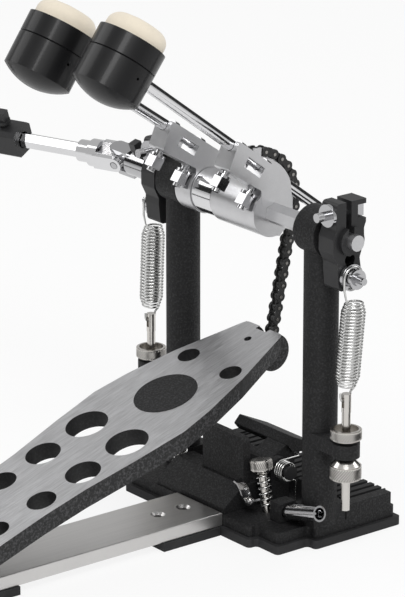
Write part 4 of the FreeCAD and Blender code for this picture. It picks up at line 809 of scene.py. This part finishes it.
class PEDAL_OT_stage(bpy.types.Operator):
    """Pale floor, soft lamps, white surroundings and the camera"""

    bl_idname = "pedal.stage"
    bl_label = "Stage"

    def lamp(self, name, place, aim, size, power):
        data = bpy.data.lights.new(name, "AREA")
        data.shape = "RECTANGLE"
        data.size, data.size_y = size
        data.energy = power
        obj = bpy.data.objects.new(name, data)
        obj.location = place
        obj.rotation_euler = (Vector(aim) - Vector(place)).to_track_quat("-Z", "Y").to_euler()
        bpy.context.scene.collection.objects.link(obj)

    def floor_white(self, colour):
        """Pale floor that a lens, metal and glass see nearly white, with the shadows on it."""
        f = Finish("floor_white")
        cloud = f.grain(0.8, 2.0)
        f.done(Base_Color=f.mix(cloud, shade(colour, 0.995), colour), Roughness=0.9)
        glow = f.node("ShaderNodeEmission", {"Color": (1, 1, 1), "Strength": 1.0})
        lit = Flow(f, f.shader.outputs[0])
        both = f.node("ShaderNodeMixShader", {0: f.seen(lens=0.85, mirror=0.55), 1: lit, 2: glow})
        f.feed(f.tree.nodes["Material Output"].inputs["Surface"], both)
        return f.material

    def surround(self, strength):
        """White all round for the lens, and softer light on the pedal."""
        world = bpy.data.worlds.new("studio")
        f = Surround(world)
        soft = f.node("ShaderNodeBackground", {"Color": (1, 1, 1), "Strength": strength})
        white = f.node("ShaderNodeBackground", {"Color": (1, 1, 1), "Strength": 1.0})
        both = f.node("ShaderNodeMixShader", {0: f.seen(lens=1.0, mirror=0.3), 1: soft, 2: white})
        f.feed(f.tree.nodes["World Output"].inputs["Surface"], both)
        return world

    def card(self, name, place, aim, size):
        """A dark card beside the stage that only shows in polished metal."""
        bm = bmesh.new()
        turn = (Vector(aim) - Vector(place)).to_track_quat("Z", "Y").to_matrix().to_4x4()
        bmesh.ops.create_grid(bm, x_segments=1, y_segments=1, size=0.5)
        bmesh.ops.scale(bm, vec=(size[0], size[1], 1), verts=bm.verts[:])
        bmesh.ops.transform(bm, matrix=Matrix.Translation(place) @ turn, verts=bm.verts[:])
        f = Finish(name + "_black")
        black = f.done(Base_Color=f.mix(f.grain(3.0), (0.02, 0.02, 0.02), (0.03, 0.03, 0.03)), Roughness=0.9)
        obj = piece(name, bm, black)
        obj.visible_camera = obj.visible_diffuse = obj.visible_shadow = False

    def execute(self, context):
        scene = context.scene
        studio = scene.pedal_studio
        bm = bmesh.new()
        half_floor, sunk = 12.0, 0.0004
        bmesh.ops.create_grid(bm, x_segments=1, y_segments=1, size=half_floor)
        bmesh.ops.translate(bm, vec=(0, 0, -sunk), verts=bm.verts[:])
        piece("floor", bm, self.floor_white(studio.floor))
        for name, place, toward, size in CARDS:
            self.card(name, place, toward, size)
        aim = Vector(studio.aim)
        for name, place, size, power in LAMPS:
            self.lamp(name, place, aim, size, getattr(studio, power))
        scene.world = self.surround(studio.sky)
        camera = bpy.data.cameras.new("camera")
        camera.lens = studio.lens
        camera.sensor_width = 36.0
        camera.clip_end = 50.0
        obj = bpy.data.objects.new("camera", camera)
        a, e = studio.azimuth, studio.elevation
        back = Vector((math.sin(a) * math.cos(e), -math.cos(a) * math.cos(e), math.sin(e)))
        obj.location = aim + back * studio.distance
        obj.rotation_euler = (-back).to_track_quat("-Z", "Y").to_euler()
        scene.collection.objects.link(obj)
        scene.camera = obj
        scene.view_settings.view_transform = "Standard"
        return {"FINISHED"}


STEPS = (PEDAL_OT_footboards, PEDAL_OT_castings, PEDAL_OT_metalwork, PEDAL_OT_chains, PEDAL_OT_beaters,
         PEDAL_OT_return_springs, PEDAL_OT_base_springs, PEDAL_OT_knurls, PEDAL_OT_stage)


class PEDAL_PT_sidebar(bpy.types.Panel):
    """The steps that dress the pedal"""

    bl_label = "Double pedal"
    bl_idname = "PEDAL_PT_sidebar"
    bl_space_type = "VIEW_3D"
    bl_region_type = "UI"
    bl_category = "Pedal"

    def draw(self, context):
        for step in STEPS:
            self.layout.operator(step.bl_idname)
        for group in (context.scene.pedal_finishes, context.scene.pedal_sizes, context.scene.pedal_studio):
            column = self.layout.column()
            for name in group.__annotations__:
                column.prop(group, name)


GROUPS = {"pedal_finishes": PedalFinishes, "pedal_sizes": PedalSizes, "pedal_studio": PedalStudio}


def register():
    for cls in (*GROUPS.values(), *STEPS, PEDAL_PT_sidebar):
        bpy.utils.register_class(cls)
    for name, group in GROUPS.items():
        setattr(bpy.types.Scene, name, PointerProperty(type=group))


def unregister():
    for name in GROUPS:
        delattr(bpy.types.Scene, name)
    for cls in reversed((*GROUPS.values(), *STEPS, PEDAL_PT_sidebar)):
        bpy.utils.unregister_class(cls)


def main():
    register()
    for step in STEPS:
        group, name = step.bl_idname.split(".")
        getattr(getattr(bpy.ops, group), name)()


if __name__ == "__main__":
    main()
